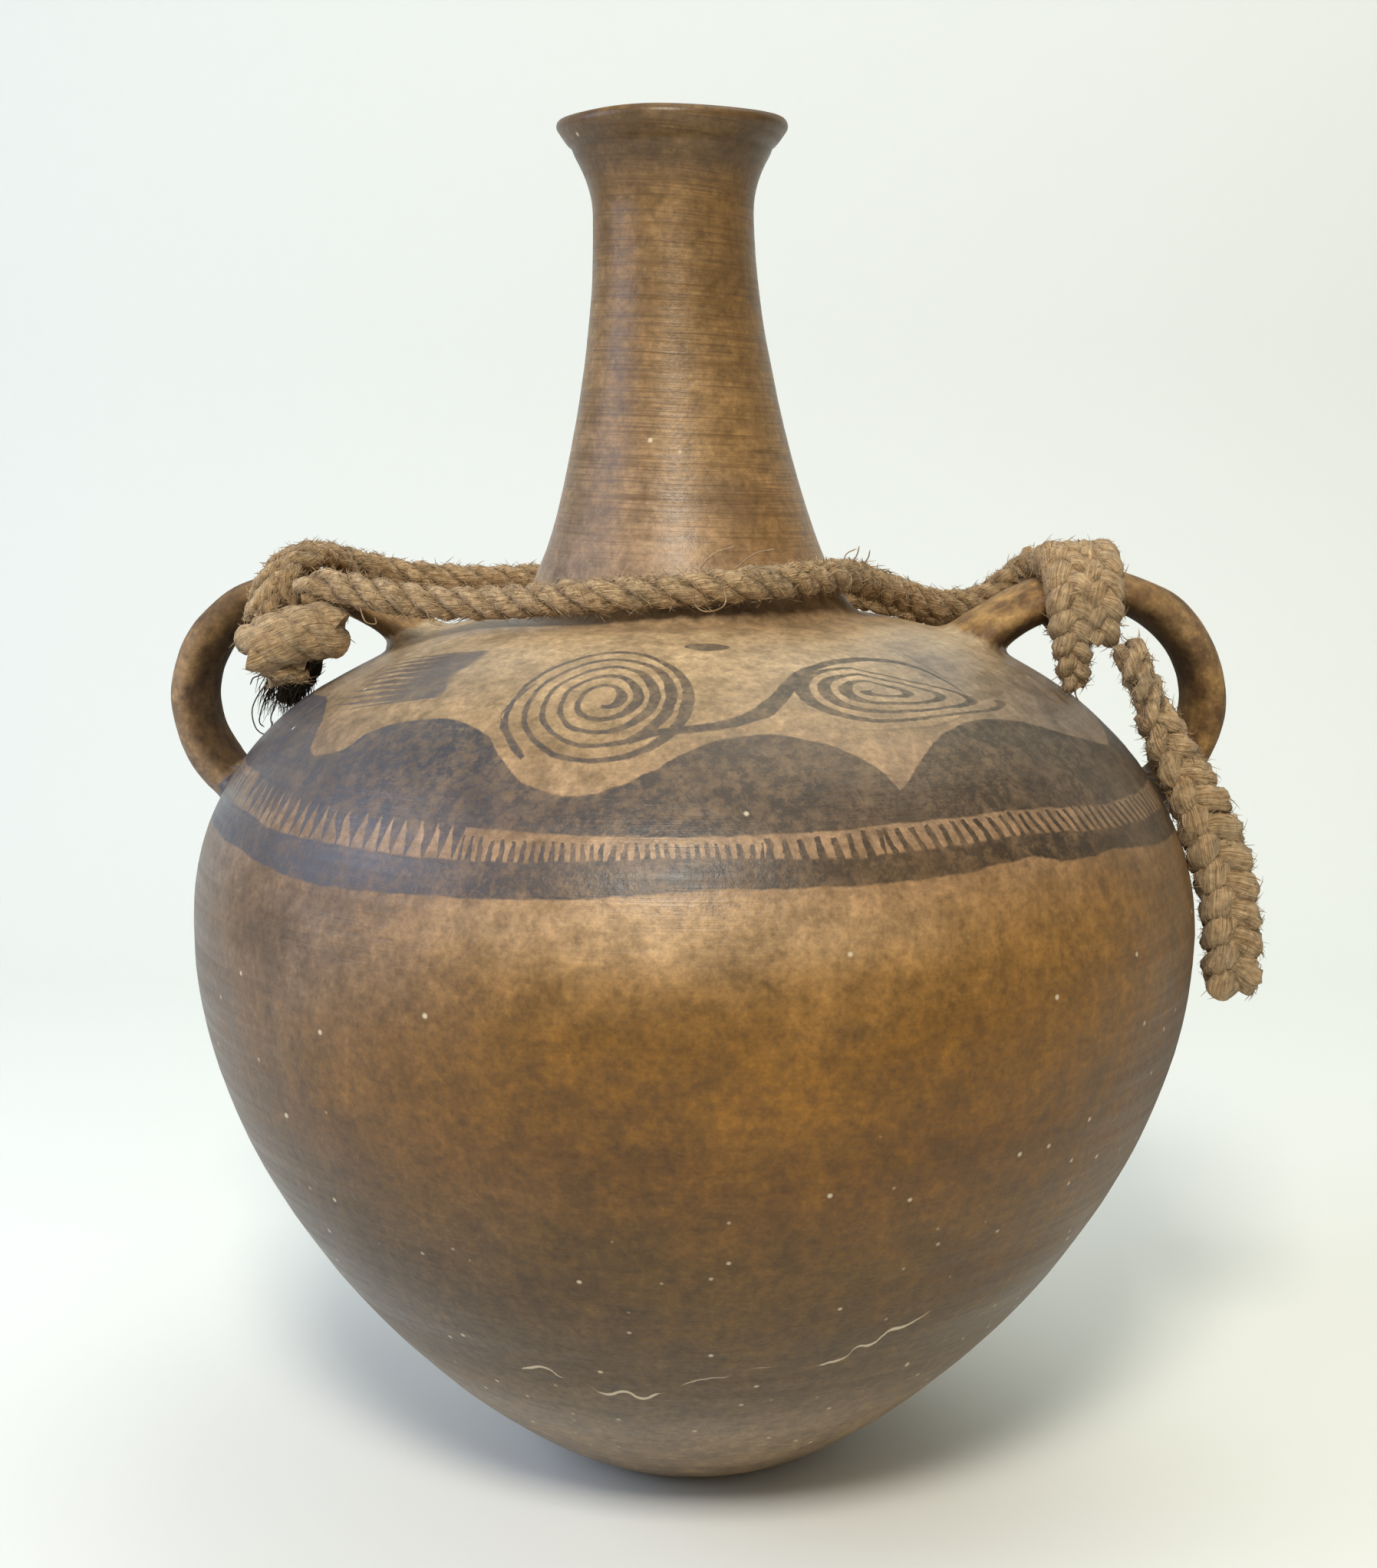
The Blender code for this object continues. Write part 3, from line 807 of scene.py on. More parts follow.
def work_surface(shape, sizes, near_surface):
    """Gives the wall its swells, scraped rows and uneven lip."""
    shape.normal_update()
    for corner in shape.verts:
        place = corner.co
        # Swells about 60 and 20 mm long, then the scraper's rows 4 mm apart
        swell = noise.noise(place * 17) * sizes.unevenness
        swell += noise.noise(place * 48 + Vector((3.0, 5.0, 7.0))) * sizes.unevenness * 0.35
        rows = Vector((place.x * 22, place.y * 22, place.z * 240))
        swell += noise.noise(rows) * 0.09 * MM
        # The wall has sunk in under the left handle and near the foot
        turn, rise = turn_and_rise(place)
        slump = math.exp(-((turn + 84) / 22) ** 2 - ((rise - 45) / 9) ** 2)
        slump += 0.5 * math.exp(-((turn + 95) / 30) ** 2 - ((rise + 52) / 9) ** 2)
        swell -= slump * SLUMP_DEPTH * MM
        groove = math.exp(-((place.z - GROOVE_HEIGHT * MM) / (GROOVE_WIDTH * MM)) ** 2)
        if near_surface(place) < 1.2 * MM:
            swell -= groove * (0.45 + 0.25 * noise.noise(place * 130)) * MM
        if 0.0002 < place.z:
            corner.co = place + corner.normal * swell
        # The lip's height wanders round the mouth
        if place.z > 0.35:
            tip = noise.noise(Vector((place.x, place.y, 0.0)) * 32) * 0.9 * MM
            corner.co.z += tip * min(1.0, (place.z - 0.35) / 0.015)


def write_clouds(mesh, near_surface):
    """Writes the soft clouds, and where bare ground for paint is, on the mesh's corners."""
    mesh.attributes.new("clouds", "FLOAT_COLOR", "POINT")
    mesh.attributes.new("ground", "FLOAT", "POINT")
    clouds = mesh.attributes["clouds"]
    ground = mesh.attributes["ground"]
    for index, corner in enumerate(mesh.vertices):
        place = corner.co
        marks = [cloud_at(place, blobs) for blobs in CLOUDS.values()]
        gap = near_surface(place)
        reach = math.hypot(place.x, place.y)
        if gap > WALL_REACH * MM and reach > 0.07:
            # Each handle's inner face, which looks at the wall, is darkened: soot, and painted shade between handle
            # and wall
            inward = Vector((place.x / reach, place.y / reach, 0.0)) * 0.108
            inward = (inward + Vector((0.0, 0.0, 0.214)) - place).normalized()
            burnt = corner.normal.dot(inward) + 0.25 * noise.noise(place * 60)
            marks[0] = max(marks[0], min(1.0, max(0.0, burnt * 1.2 - 0.15)))
        clouds.data[index].color = marks
        above = place.z - RISE_FROM if place.z < 0.3 else 0.0
        facing = corner.normal.dot(Vector((place.x, place.y, above)))
        on_wall = gap < WALL_REACH * MM and facing > 0.0 and place.z > 0.001
        ground.data[index].value = 1.0 if on_wall else 0.0


class JAR_OT_vessel(bpy.types.Operator):
    """Makes the clay vessel with its two strap handles"""

    bl_idname = "jar.vessel"
    bl_label = "Vessel"

    def execute(self, context):
        sizes = context.scene.jar_sizes
        mesh, outside = make_clay_form(sizes.turns)
        near_surface = surface_distance(outside)
        shape = bmesh.new()
        shape.from_mesh(mesh)
        bmesh.ops.remove_doubles(shape, verts=shape.verts, dist=0.00002)
        bmesh.ops.dissolve_degenerate(shape, edges=shape.edges, dist=0.00002)
        settle_roots(shape, near_surface)
        work_surface(shape, sizes, near_surface)
        bmesh.ops.triangulate(shape, faces=[f for f in shape.faces if len(f.verts) > 4])
        vessel = finished("painted_vessel", shape)
        vessel.data.update()
        write_clouds(vessel.data, near_surface)
        vessel.data.materials.clear()
        vessel.data.materials.append(earthenware())
        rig.ride(vessel, "root")
        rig.replaces(vessel, "jar")
        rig.slot(vessel, "earthenware")
        return {"FINISHED"}


# Edges of the painted bands, as turn and rise in degrees, drawn over a range of turns.
# A third value of 1 marks a sharp notch.
EDGES = {
    "front_scallops": (-80.0, 70.0, (
        (-80, 36.6), (-76.1, 36.8), (-70.2, 37.4), (-62.7, 35.3), (-58.1, 32.3), (-55.7, 30.4),
        (-53.9, 29.9, 1), (-49.0, 31.8), (-47.1, 34.1), (-45.2, 35.2), (-39.6, 36.9),
        (-35.8, 37.4), (-30.0, 36.6), (-24.4, 33.0), (-21.4, 30.8), (-18.0, 29.3),
        (-13.4, 28.8), (-9.2, 29.8), (-5.1, 32.0), (-0.6, 34.6), (4.2, 36.3), (9.3, 36.8),
        (14.1, 35.9), (19.0, 34.0), (21.4, 32.2), (22.5, 31.0), (23.7, 28.9, 1), (26.1, 30.4),
        (28.1, 32.0), (32.5, 34.8), (36.3, 36.2), (39.9, 36.9), (45.0, 37.0), (53.6, 35.2),
        (60.6, 32.5), (70, 30.0),
    )),
    "back_scallops": (70.0, 280.0, (
        (70, 30.0), (80, 32.5), (90, 36.4), (100, 36.0), (112, 29.6, 1), (124, 35.4), (134, 36.8),
        (146, 34.5), (157, 29.2), (168, 33.8), (180, 36.9), (192, 35.6), (203, 29.6, 1),
        (214, 35.2), (225, 36.9), (237, 34.4), (248, 29.3), (260, 33.4), (270, 36.2), (280, 36.6),
    )),
    "upper_foot": (-180.0, 180.0, (
        (-180, 24.8), (-140, 25.4), (-100, 25.6), (-69, 26.3), (-60, 26.0), (-49.5, 25.2),
        (-36, 24.9), (-21, 24.6), (-0.5, 24.6), (15.8, 25.0), (29.9, 25.5), (41.4, 25.3),
        (48.2, 24.8), (56, 24.2), (90, 24.6), (130, 25.3), (180, 24.8),
    )),
    "lower_top": (-180.0, 180.0, (
        (-180, 21.5), (-140, 21.9), (-100, 22.0), (-70, 22.1), (-62, 22.1), (-54, 21.4),
        (-34, 21.3), (-20, 21.5), (-8.3, 22.2), (3.3, 22.4), (19.4, 22.2), (28.6, 22.6),
        (39.5, 22.7), (46, 22.3), (55, 21.6), (90, 21.3), (130, 21.8), (180, 21.5),
    )),
    "lower_foot": (-180.0, 180.0, (
        (-180, 18.2), (-140, 18.8), (-100, 18.9), (-62.8, 18.5), (-57, 18.2), (-51, 17.5),
        (-43.8, 17.1), (-32.7, 17.3), (-23.7, 17.7), (-11.7, 18.3), (-4.2, 19.0), (3.2, 19.4),
        (14.8, 19.4), (27.6, 19.7), (35, 20.3), (38, 20.5), (42.7, 19.5), (51.6, 19.5),
        (64.3, 18.3), (90, 18.1), (130, 18.9), (180, 18.2),
    )),
    "long_stroke": (-8.4, 46.0, (
        (-8.4, 35.7), (-5.6, 36.8), (-0.6, 37.6), (4.5, 38.5), (8.4, 40.0), (11.7, 41.9),
        (15.2, 45.0), (18.2, 47.1), (23.3, 49.3), (29.2, 50.4), (37.7, 49.8), (42.6, 47.8),
        (44.6, 45.1), (46.0, 41.5),
    )),
    "root_line": (-26.0, 31.0, (
        (-26, 19.6), (-24, 20.4), (-21.5, 21.0), (-19.5, 19.4), (-17.6, 20.2), (-16, 18.6),
        (-13.6, 16.6), (-10.5, 17.6), (-8, 16.2), (-6, 17.2), (-3, 18.6), (-0.5, 20.4),
        (2, 21.2), (4.4, 21.4), (7, 22.8), (10, 23.0), (14, 22.6), (17, 22.4), (18.6, 22.8),
        (20.6, 23.2), (22, 25.2), (24, 25.0), (26, 27.2), (28, 27.6), (31, 29.6),
    )),
    "root_strength": (-26.0, 31.0, (
        (-26, 15), (-24, 45), (-20, 40), (-18, 18), (-15, 30), (-12, 50), (-7, 52), (-5, 25),
        (-2.5, 17), (-1, 34), (4, 30), (6, 18), (9, 28), (12, 15), (16.5, 15), (18, 46),
        (22, 40), (25, 50), (29, 42), (31, 15),
    )),
    "long_stroke_width": (-8.4, 46.0, (
        (-8.4, 15.5), (0, 15.6), (6, 15.8), (11, 16.5), (16, 16.5), (21, 15.8), (30, 15.6),
        (40, 15.55), (46, 15.7),
    )),
}
EDGE_LOW = 15.0
EDGE_SPAN = 40.0

# Rows of small strokes between the bands: middle turn, reach to each side, strokes to a degree,
# slant, width at the foot, gain in width up to the top, and where they end
TOOTH_ZONES = (
    (-45.0, 20.0, 0.50, 0.10, 0.10, 0.85, 1.2),
    (-9.0, 16.0, 0.92, 0.05, 0.62, -0.42, 0.70),
    (13.5, 6.5, 0.55, 0.45, 0.52, -0.20, 0.85),
    (44.0, 24.0, 0.62, 0.75, 0.48, -0.12, 0.92),
    (180.0, 112.0, 0.55, 0.40, 0.45, -0.15, 0.85),
)

# Spirals: middle in turn and rise, half width and half height in millimetres, windings, where the
# line starts and ends in windings, half width of the line, how much it swells and towards which
# side, how far the right half is drawn out and how much it narrows to a tip
SPIRALS = (
    ((-13.5, 42.3), (21.0, 22.4), 5.2, (0.75, 5.66), 0.16, 0.20, 0.0, 1.0, 0.0),
    ((29.0, 43.6), (23.0, 13.6), 4.1, (0.5, 4.02), 0.18, 0.16, 3.14, 1.6, 0.75),
)

# Single brush strokes: start and end in turn and rise, bow and half width in millimetres, strength
STROKES = (
    (-2.4, 55.0, 7.9, 55.0, 0.0, 2.9, 0.9),
    (-21.0, 33.4, -27.4, 38.6, 0.9, 0.9, 0.9), (-27.4, 38.2, -25.4, 45.0, 1.0, 0.8, 0.9),
    (46.7, 54.3, 46.2, 44.0, -1.6, 0.9, 0.5), (18.4, 37.6, 43.5, 38.6, -3.0, 0.7, 0.35),
    (44.0, 40.2, 56.0, 40.8, 0.6, 1.6, 0.45),
)

# Feather strokes beside the left handle: middle, length and height in millimetres, slope
FEATHERS = (-54.0, 42.5, 38.0, 24.0, 17.0)
FEATHER_GAP = 1.35

# How soft the paint's edges are, in degrees of rise: about a third of a millimetre
SOFT_EDGE = 0.16

MM_PER_TURN_DEGREE = 1.62
MM_PER_RISE_DEGREE = 2.2

# The bare clay's colour from foot to lip, at rises in degrees
CLAY_COLOURS = (
    (-90, "87735A"), (-62, "846D50"), (-48, "705A3E"), (-34, "5C4524"), (-20, "614314"),
    (-8, "66420A"), (4, "764F10"), (13, "8B6636"), (24, "93765A"), (38, "9C8260"),
    (52, "B49A76"), (60, "AA8E69"), (72, "A08160"), (80, "8A6A42"), (85, "6E5029"), (90, "3C290F"),
)

# Noise on Object coordinates: scale to a metre, detail and roughness
NOISES = {
    "shake": (95.0, 5.0, 0.68),
    "uneven": (60.0, 1.0),
    "faded": (24.0, 2.0, 0.5),
    "scuffed": (190.0, 4.0, 0.7),
    "wear": (420.0, 4.0, 0.7),
    "blotches": (22.0, 4.0, 0.6),
    "mottle": (130.0, 4.0, 0.65),
    "grit": (900.0, 2.0, 0.6),
}
RGBA = {"data_type": "RGBA"}
EASED = {"interpolation_type": "SMOOTHSTEP"}


def drawn_edges(node, turn):
    """The paint's edges, each a curve of rise over the turns that it is drawn on."""
    all_round = node("WRAP", turn, 0.0, 360.0)
    edges = {}
    for name, (low, high, points) in EDGES.items():
        share = node("MapRange", all_round if high > 180.0 else turn, low, high, 0.0, 1.0)
        curve = node("FloatCurve", 1.0, share)
        line = curve.mapping.curves[0]
        for index, point in enumerate(points):
            place = ((point[0] - low) / (high - low), (point[1] - EDGE_LOW) / EDGE_SPAN)
            if index in (0, len(points) - 1):
                line.points[-1 if index else 0].location = place
            else:
                corner = line.points.new(*place)
                corner.handle_type = "VECTOR" if len(point) > 2 else "AUTO"
        curve.mapping.update()
        edges[name] = node("MULTIPLY_ADD", curve, EDGE_SPAN, EDGE_LOW)
    return edges


def band_paint(node, turn, rise, edges):
    """The two painted bands, the upper one with scallops along its top."""
    in_front = node("COMPARE", turn, -5.0, 75.0)
    scallops = node(
        "Mix", in_front, edges["back_scallops"], edges["front_scallops"], data_type="FLOAT"
    )
    paints = []
    for foot, head in ((edges["upper_foot"], scallops), (edges["lower_foot"], edges["lower_top"])):
        inside = node("MINIMUM", node("SUBTRACT", rise, foot), node("SUBTRACT", head, rise))
        paints.append(node("MapRange", inside, -SOFT_EDGE, SOFT_EDGE, 0.0, 1.0, **EASED))
    return paints


def tooth_paint(node, turn, true_turn, rise, edges, shake, uneven):
    """The rows of small strokes in the light band, each row with its own slant and taper."""
    gap = node("SUBTRACT", edges["upper_foot"], edges["lower_top"])
    height = node("DIVIDE", node("SUBTRACT", rise, edges["lower_top"]), gap)
    all_round = node("WRAP", true_turn, 0.0, 360.0)
    paints = []
    for middle, half, count, slant, foot_width, gain, end in TOOTH_ZONES:
        leant = node("MULTIPLY_ADD", height, slant, node("MULTIPLY", turn, count))
        saw = node("PINGPONG", node("MULTIPLY_ADD", uneven, 1.4, leant), 0.5)
        wide = node("MULTIPLY_ADD", height, gain / 2, foot_width / 2)
        within = node("SUBTRACT", wide, saw)
        stroke = node("MapRange", within, -0.05, 0.05, 0.0, 1.0, **EASED)
        ragged_end = node("MULTIPLY_ADD", shake, 0.9, end)
        around = all_round if middle == 180.0 else true_turn
        for limit in (
            node("LESS_THAN", height, ragged_end), node("GREATER_THAN", height, -0.2),
            node("LESS_THAN", height, 1.15), node("COMPARE", around, middle, half),
        ):
            stroke = node("MULTIPLY", stroke, limit)
        paints.append(stroke)
    return paints


def spiral_paint(node, unrolled):
    """The spirals, each a line whose distance from the middle grows by one gap to a winding."""
    paints = []
    for middle, size, windings, (start, end), line, swell, side, drawn_out, tip in SPIRALS:
        centred = node("VectorMath", unrolled, (*middle, 0.0), operation="SUBTRACT")
        scale = (MM_PER_TURN_DEGREE / size[0], MM_PER_RISE_DEGREE / size[1], 0.0)
        local = node("VectorMath", centred, scale, operation="MULTIPLY")
        local_x, local_y, _ = node("SeparateXYZ", local).outputs
        right = node("MAXIMUM", local_x, 0.0)
        flat_x = node("MULTIPLY_ADD", right, 1 / drawn_out - 1.0, local_x)
        sloped = node("MULTIPLY_ADD", right, tip * 0.6, local_y)
        flat_y = node("MULTIPLY", sloped, node("MULTIPLY_ADD", right, tip, 1.0))
        local = node("CombineXYZ", flat_x, flat_y, 0.0)
        angle = node("ARCTAN2", flat_y, flat_x)
        wound = node("DIVIDE", angle, math.tau)
        far = node("VectorMath", local, operation="LENGTH").outputs["Value"]
        phase = node("SUBTRACT", node("MULTIPLY", far, windings), wound)
        ring = node("ROUND", phase)
        off = node("ABSOLUTE", node("SUBTRACT", phase, ring))
        along = node("ADD", ring, wound)
        faced = node("COSINE", node("SUBTRACT", angle, side))
        faced = node("POWER", node("MAXIMUM", faced, 0.0), 2.0)
        within = node("SUBTRACT", node("MULTIPLY_ADD", faced, swell, line), off)
        drawn = node("MapRange", within, -0.05, 0.05, 0.0, 0.95, **EASED)
        drawn = node("MULTIPLY", drawn, node("GREATER_THAN", along, start))
        paints.append(node("MULTIPLY", drawn, node("LESS_THAN", along, end)))
    return paints


def joining_stroke(node, turn, rise, edges):
    """The long stroke that joins the two spirals."""
    off = node("ABSOLUTE", node("SUBTRACT", rise, edges["long_stroke"]))
    thick = node("SUBTRACT", edges["long_stroke_width"], EDGE_LOW)
    within = node("SUBTRACT", thick, off)
    drawn = node("MapRange", within, -SOFT_EDGE, SOFT_EDGE, 0.0, 1.0, **EASED)
    return node("MULTIPLY", drawn, node("COMPARE", turn, 18.8, 27.2))


def brush_paint(node, unrolled):
    """Single strokes, lens-shaped as a loaded brush leaves them."""
    paints = []
    scale = Vector((MM_PER_TURN_DEGREE, MM_PER_RISE_DEGREE, 0.0))
    for x_start, y_start, x_end, y_end, bow, half, strength in STROKES:
        run = Vector((x_end - x_start, y_end - y_start, 0.0)) * scale
        length = run.length
        run /= length
        rel = node("VectorMath", unrolled, (x_start, y_start, 0.0), operation="SUBTRACT")
        rel = node("VectorMath", rel, scale, operation="MULTIPLY")
        forth, aside = (
            node("VectorMath", rel, axis, operation="DOT_PRODUCT").outputs["Value"]
            for axis in (run / length, (-run.y, run.x, 0.0))
        )
        arch = node("MULTIPLY", forth, node("SUBTRACT", 1.0, forth))
        arch = node("MAXIMUM", arch, 0.0)
        bent = node("ABSOLUTE", node("MULTIPLY_ADD", arch, -4.0 * bow, aside))
        full = node("MULTIPLY", node("POWER", arch, 0.6), half * 2.3)
        within = node("SUBTRACT", full, bent)
        paints.append(node("MapRange", within, 0.0, 0.45, 0.0, strength, **EASED))
    return paints


def feather_paint(node, unrolled, uneven):
    """A comb of lines that swell to the right and run out ragged to the left."""
    middle, height, long, tall, slope = FEATHERS
    slant = math.radians(slope)
    rel = node("VectorMath", unrolled, (middle, height, 0.0), operation="SUBTRACT")
    scale = (MM_PER_TURN_DEGREE, MM_PER_RISE_DEGREE, 0.0)
    rel = node("VectorMath", rel, scale, operation="MULTIPLY")
    forth, aside = (
        node("VectorMath", rel, axis, operation="DOT_PRODUCT").outputs["Value"]
        for axis in (
            (math.cos(slant) / long, math.sin(slant) / long, 0.0),
            (-math.sin(slant), math.cos(slant), 0.0),
        )
    )
    combed = node("DIVIDE", node("PINGPONG", aside, FEATHER_GAP), FEATHER_GAP)
    swell = node("MapRange", forth, -0.45, 0.25, 0.15, 1.15)
    within = node("SUBTRACT", swell, combed)
    drawn = node("MapRange", within, -0.1, 0.25, 0.0, 0.85, **EASED)
    ragged = node("MULTIPLY_ADD", uneven, 0.5, forth)
    for limit in (
        node("MapRange", ragged, 0.70, 0.76, 1.0, 0.0),
        node("MapRange", ragged, -0.28, -0.05, 0.0, 1.0),
        node("COMPARE", aside, 1.5, tall / 2),
    ):
        drawn = node("MULTIPLY", drawn, limit)
    return drawn


def root_mark(node, turn, rise, edges):
    """The pale line that roots left low on the body, thick and thin as they branched."""
    off = node("SUBTRACT", rise, -60.0)
    off = node("ABSOLUTE", node("SUBTRACT", off, edges["root_line"]))
    thick = node("MULTIPLY", node("SUBTRACT", edges["root_strength"], 18.0), 0.011)
    within = node("SUBTRACT", thick, off)
    drawn = node("MapRange", within, -0.05, 0.22, 0.0, 0.95, **EASED)
    return node("MULTIPLY", drawn, node("COMPARE", turn, 2.5, 28.5))


def worn_paint(node, paints, ground, noises):
    """All the paint together, kept off the handles and thinned by scuffs, wear and fading."""
    painted = paints[0]
    for other in paints[1:]:
        painted = node("MAXIMUM", painted, other)
    painted = node("MULTIPLY", painted, ground)
    for name, low, high, thinnest in (
        ("scuffed", 0.36, 0.54, 0.70), ("wear", 0.34, 0.52, 0.50), ("faded", 0.3, 0.7, 0.86),
    ):
        left = node("MapRange", noises[name], low, high, thinnest, 1.0)
        painted = node("MULTIPLY", painted, left)
    return painted


def fired_clay(node, true_rise, z, bare, marks, noises):
    """The clay's colour from foot to lip, with its smoke clouds, painted shade and painted highlights, mottling and
    wiped neck.
    """
    place = node("MapRange", true_rise, -90.0, 90.0, 0.0, 1.0)
    drift = node("MULTIPLY_ADD", noises["blotches"], 0.10, place)
    ramp = node("ValToRGB", node("SUBTRACT", drift, 0.05))
    stops = ramp.color_ramp.elements
    for index, (height, text) in enumerate(CLAY_COLOURS):
        share = (height + 90.0) / 180.0
        stop = stops[0] if index == 0 else stops[-1] if share == 1.0 else stops.new(share)
        stop.position = share
        stop.color = colour(text)
    clay = ramp.outputs["Color"]
    stained = node("MapRange", noises["mottle"], 0.35, 0.65, 0.0, 1.0)
    strap = node("Mix", stained, colour("774E1C"), colour("AB8448"), **RGBA)
    clay = node("Mix", bare, clay, strap, **RGBA)

    # The clay darkens from just under the lip up over it
    at_lip = node("MapRange", z, 0.350, 0.360, 0.0, 0.6)
    clay = node("Mix", at_lip, clay, colour("3C2A16"), **RGBA)
    # Ochre, pale, smoke and soot clouds: the pale clouds at the front are partly painted highlights, and the soot is
    # partly painted shade and the rope's painted shadow
    for name, text, most in (
        ("ochre", "80550F", 0.75), ("pale", "B89A74", 0.7), ("smoke", "5E5A59", 0.85),
        ("soot", "3A2814", 0.9),
    ):
        broken = node("MapRange", noises["blotches"], 0.25, 0.75, 0.55 * most, most)
        clay = node("Mix", node("MULTIPLY", marks[name], broken), clay, colour(text), **RGBA)

    # Streaks, mottling and grit lighten and darken it
    for name, low, high, dark, light in (
        ("streaks", 0.3, 0.7, 0.95, 1.04), ("fine_streaks", 0.3, 0.7, 0.96, 1.03),
        ("blotches", 0.25, 0.75, 0.80, 1.14), ("mottle", 0.33, 0.67, 0.70, 1.21),
        ("wear", 0.32, 0.68, 0.70, 1.24), ("grit", 0.3, 0.7, 0.90, 1.08),
    ):
        shade = node("MapRange", noises[name], low, high, dark, light)
        shade = node("CombineXYZ", shade, shade, shade)
        clay = node("VectorMath", clay, shade, operation="MULTIPLY")

    # The neck was wiped level and keeps dark streaks one to five millimetres apart
    up_neck = node("MapRange", true_rise, 66.0, 76.0, 0.0, 0.55)
    for name, low, high, text in (
        ("fine_streaks", 0.50, 0.64, "4A3420"), ("streaks", 0.52, 0.62, "5E4526"),
    ):
        wiped = node("MULTIPLY", node("MapRange", noises[name], low, high, 0.0, 1.0), up_neck)
        clay = node("Mix", wiped, clay, colour(text), **RGBA)
    return clay


def earthenware():
    """Low-fired clay, burnished with a pebble: a soft sheen, level streaks and smoke clouds."""
    made, tree, shader = new_material(
        "burnished_smoked_earthenware", {"IOR": 1.5, "Specular IOR Level": 0.38}
    )
    node = partial(add, tree)

    # Turn and rise in degrees, with the brush's shake of about half a millimetre over 10 mm
    spot = node("TexCoord").outputs["Object"]
    noises = {name: node("TexNoise", spot, *settings) for name, settings in NOISES.items()}
    x, y, z = node("SeparateXYZ", spot).outputs
    flat = node("VectorMath", spot, (1.0, 1.0, 0.0), operation="MULTIPLY")
    reach = node("VectorMath", flat, operation="LENGTH").outputs["Value"]
    upward = node("ARCTAN2", node("SUBTRACT", z, RISE_FROM), reach)
    true_turn = node("DEGREES", node("ARCTAN2", x, node("MULTIPLY", y, -1.0)))
    true_rise = node("DEGREES", upward)
    shake = noises["shake"].outputs["Color"]
    wander = node("VectorMath", shake, (0.5, 0.5, 0.5), operation="SUBTRACT")
    wanders = node("SeparateXYZ", wander).outputs
    turn = node("MULTIPLY_ADD", wanders[0], 1.6, true_turn)
    rise = node("MULTIPLY_ADD", wanders[1], 1.1, true_rise)
    unrolled = node("CombineXYZ", turn, rise, 0.0)
    edges = drawn_edges(node, turn)
    uneven = noises["uneven"]

    # Rubbing streaks run level round the jar, one to three millimetres apart
    level = node("VectorMath", spot, (9.0, 9.0, 0.0), operation="MULTIPLY")
    step_up = node("MULTIPLY_ADD", z, 420.0, node("MULTIPLY", reach, -120.0))
    stripes = node("CombineXYZ", 0.0, 0.0, step_up)
    streak_place = node("VectorMath", level, stripes, operation="ADD")
    noises["streaks"] = node("TexNoise", streak_place, 1.1, 4.0, 0.65)
    noises["fine_streaks"] = node("TexNoise", streak_place, 4.2, 3.0, 0.6)

    paints = band_paint(node, turn, rise, edges)
    paints += tooth_paint(node, turn, true_turn, rise, edges, wanders[2], uneven)
    paints += spiral_paint(node, unrolled)
    paints.append(joining_stroke(node, turn, rise, edges))
    paints += brush_paint(node, unrolled)
    paints.append(feather_paint(node, unrolled, uneven))
    ground = node("Attribute", attribute_name="ground").outputs["Fac"]
    painted = worn_paint(node, paints, ground, noises)

    clouds = node("Attribute", attribute_name="clouds")
    marks = dict(zip(CLOUDS, node("SeparateColor", clouds.outputs["Color"]).outputs))
    marks["pale"] = clouds.outputs["Alpha"]
    bare = node("MapRange", ground, 0.0, 1.0, 0.85, 0.0)
    clay = fired_clay(node, true_rise, z, bare, marks, noises)

    # The paint is a thin matt wash that lets the clay through; to the left it is greyer with smoke and bluer
    # with the cool left lamp's light painted in
    leftward = node("MapRange", true_turn, -45.0, 20.0, 0.0, 1.0)
    brew = node("Mix", leftward, colour("3A3F4A"), colour("2C241B"), **RGBA)
    wash = node("Mix", 0.95, clay, brew, **RGBA)
    surface = node("Mix", painted, clay, wash, **RGBA)

    # Pale specks of grit, about half a millimetre wide, thick below the belly
    cells = node("TexVoronoi", spot, 260.0, feature="F1")
    chosen = node("SeparateColor", cells.outputs["Color"]).outputs[0]
    low_down = node("MapRange", true_rise, -50.0, 20.0, 0.86, 0.985)
    rare = node("GREATER_THAN", chosen, low_down)
    small = node("MapRange", cells.outputs["Distance"], 0.10, 0.22, 0.85, 0.0)
    specks = node("MULTIPLY", rare, small)
    specks = node("MAXIMUM", specks, root_mark(node, turn, rise, edges))
    specks = node("MULTIPLY", specks, ground)
    surface = node("Mix", specks, surface, colour("CBBBA0"), **RGBA)
    feed(tree, surface, shader.inputs["Base Color"])

    # Burnishing leaves an uneven sheen, and bare ground, soot with its painted shade, and grit dull it
    sheen = node("MapRange", noises["streaks"], 0.3, 0.7, 0.34, 0.22)
    for source, dulling in (
        (bare, 0.25), (marks["soot"], 0.40), (noises["mottle"], 0.22), (specks, 0.3),
    ):
        sheen = node("MULTIPLY_ADD", source, dulling, sheen)
    feed(tree, sheen, shader.inputs["Roughness"])

    # Relief: streaks a few hundredths of a millimetre deep, pits and grit
    relief = noises["mottle"]
    for name, depth in (("fine_streaks", 0.3), ("streaks", 0.5), ("wear", 0.5), ("grit", 0.35)):
        relief = node("MULTIPLY_ADD", noises[name], depth, relief)
    add_relief(tree, shader, relief, 0.55, 0.35)
    return made


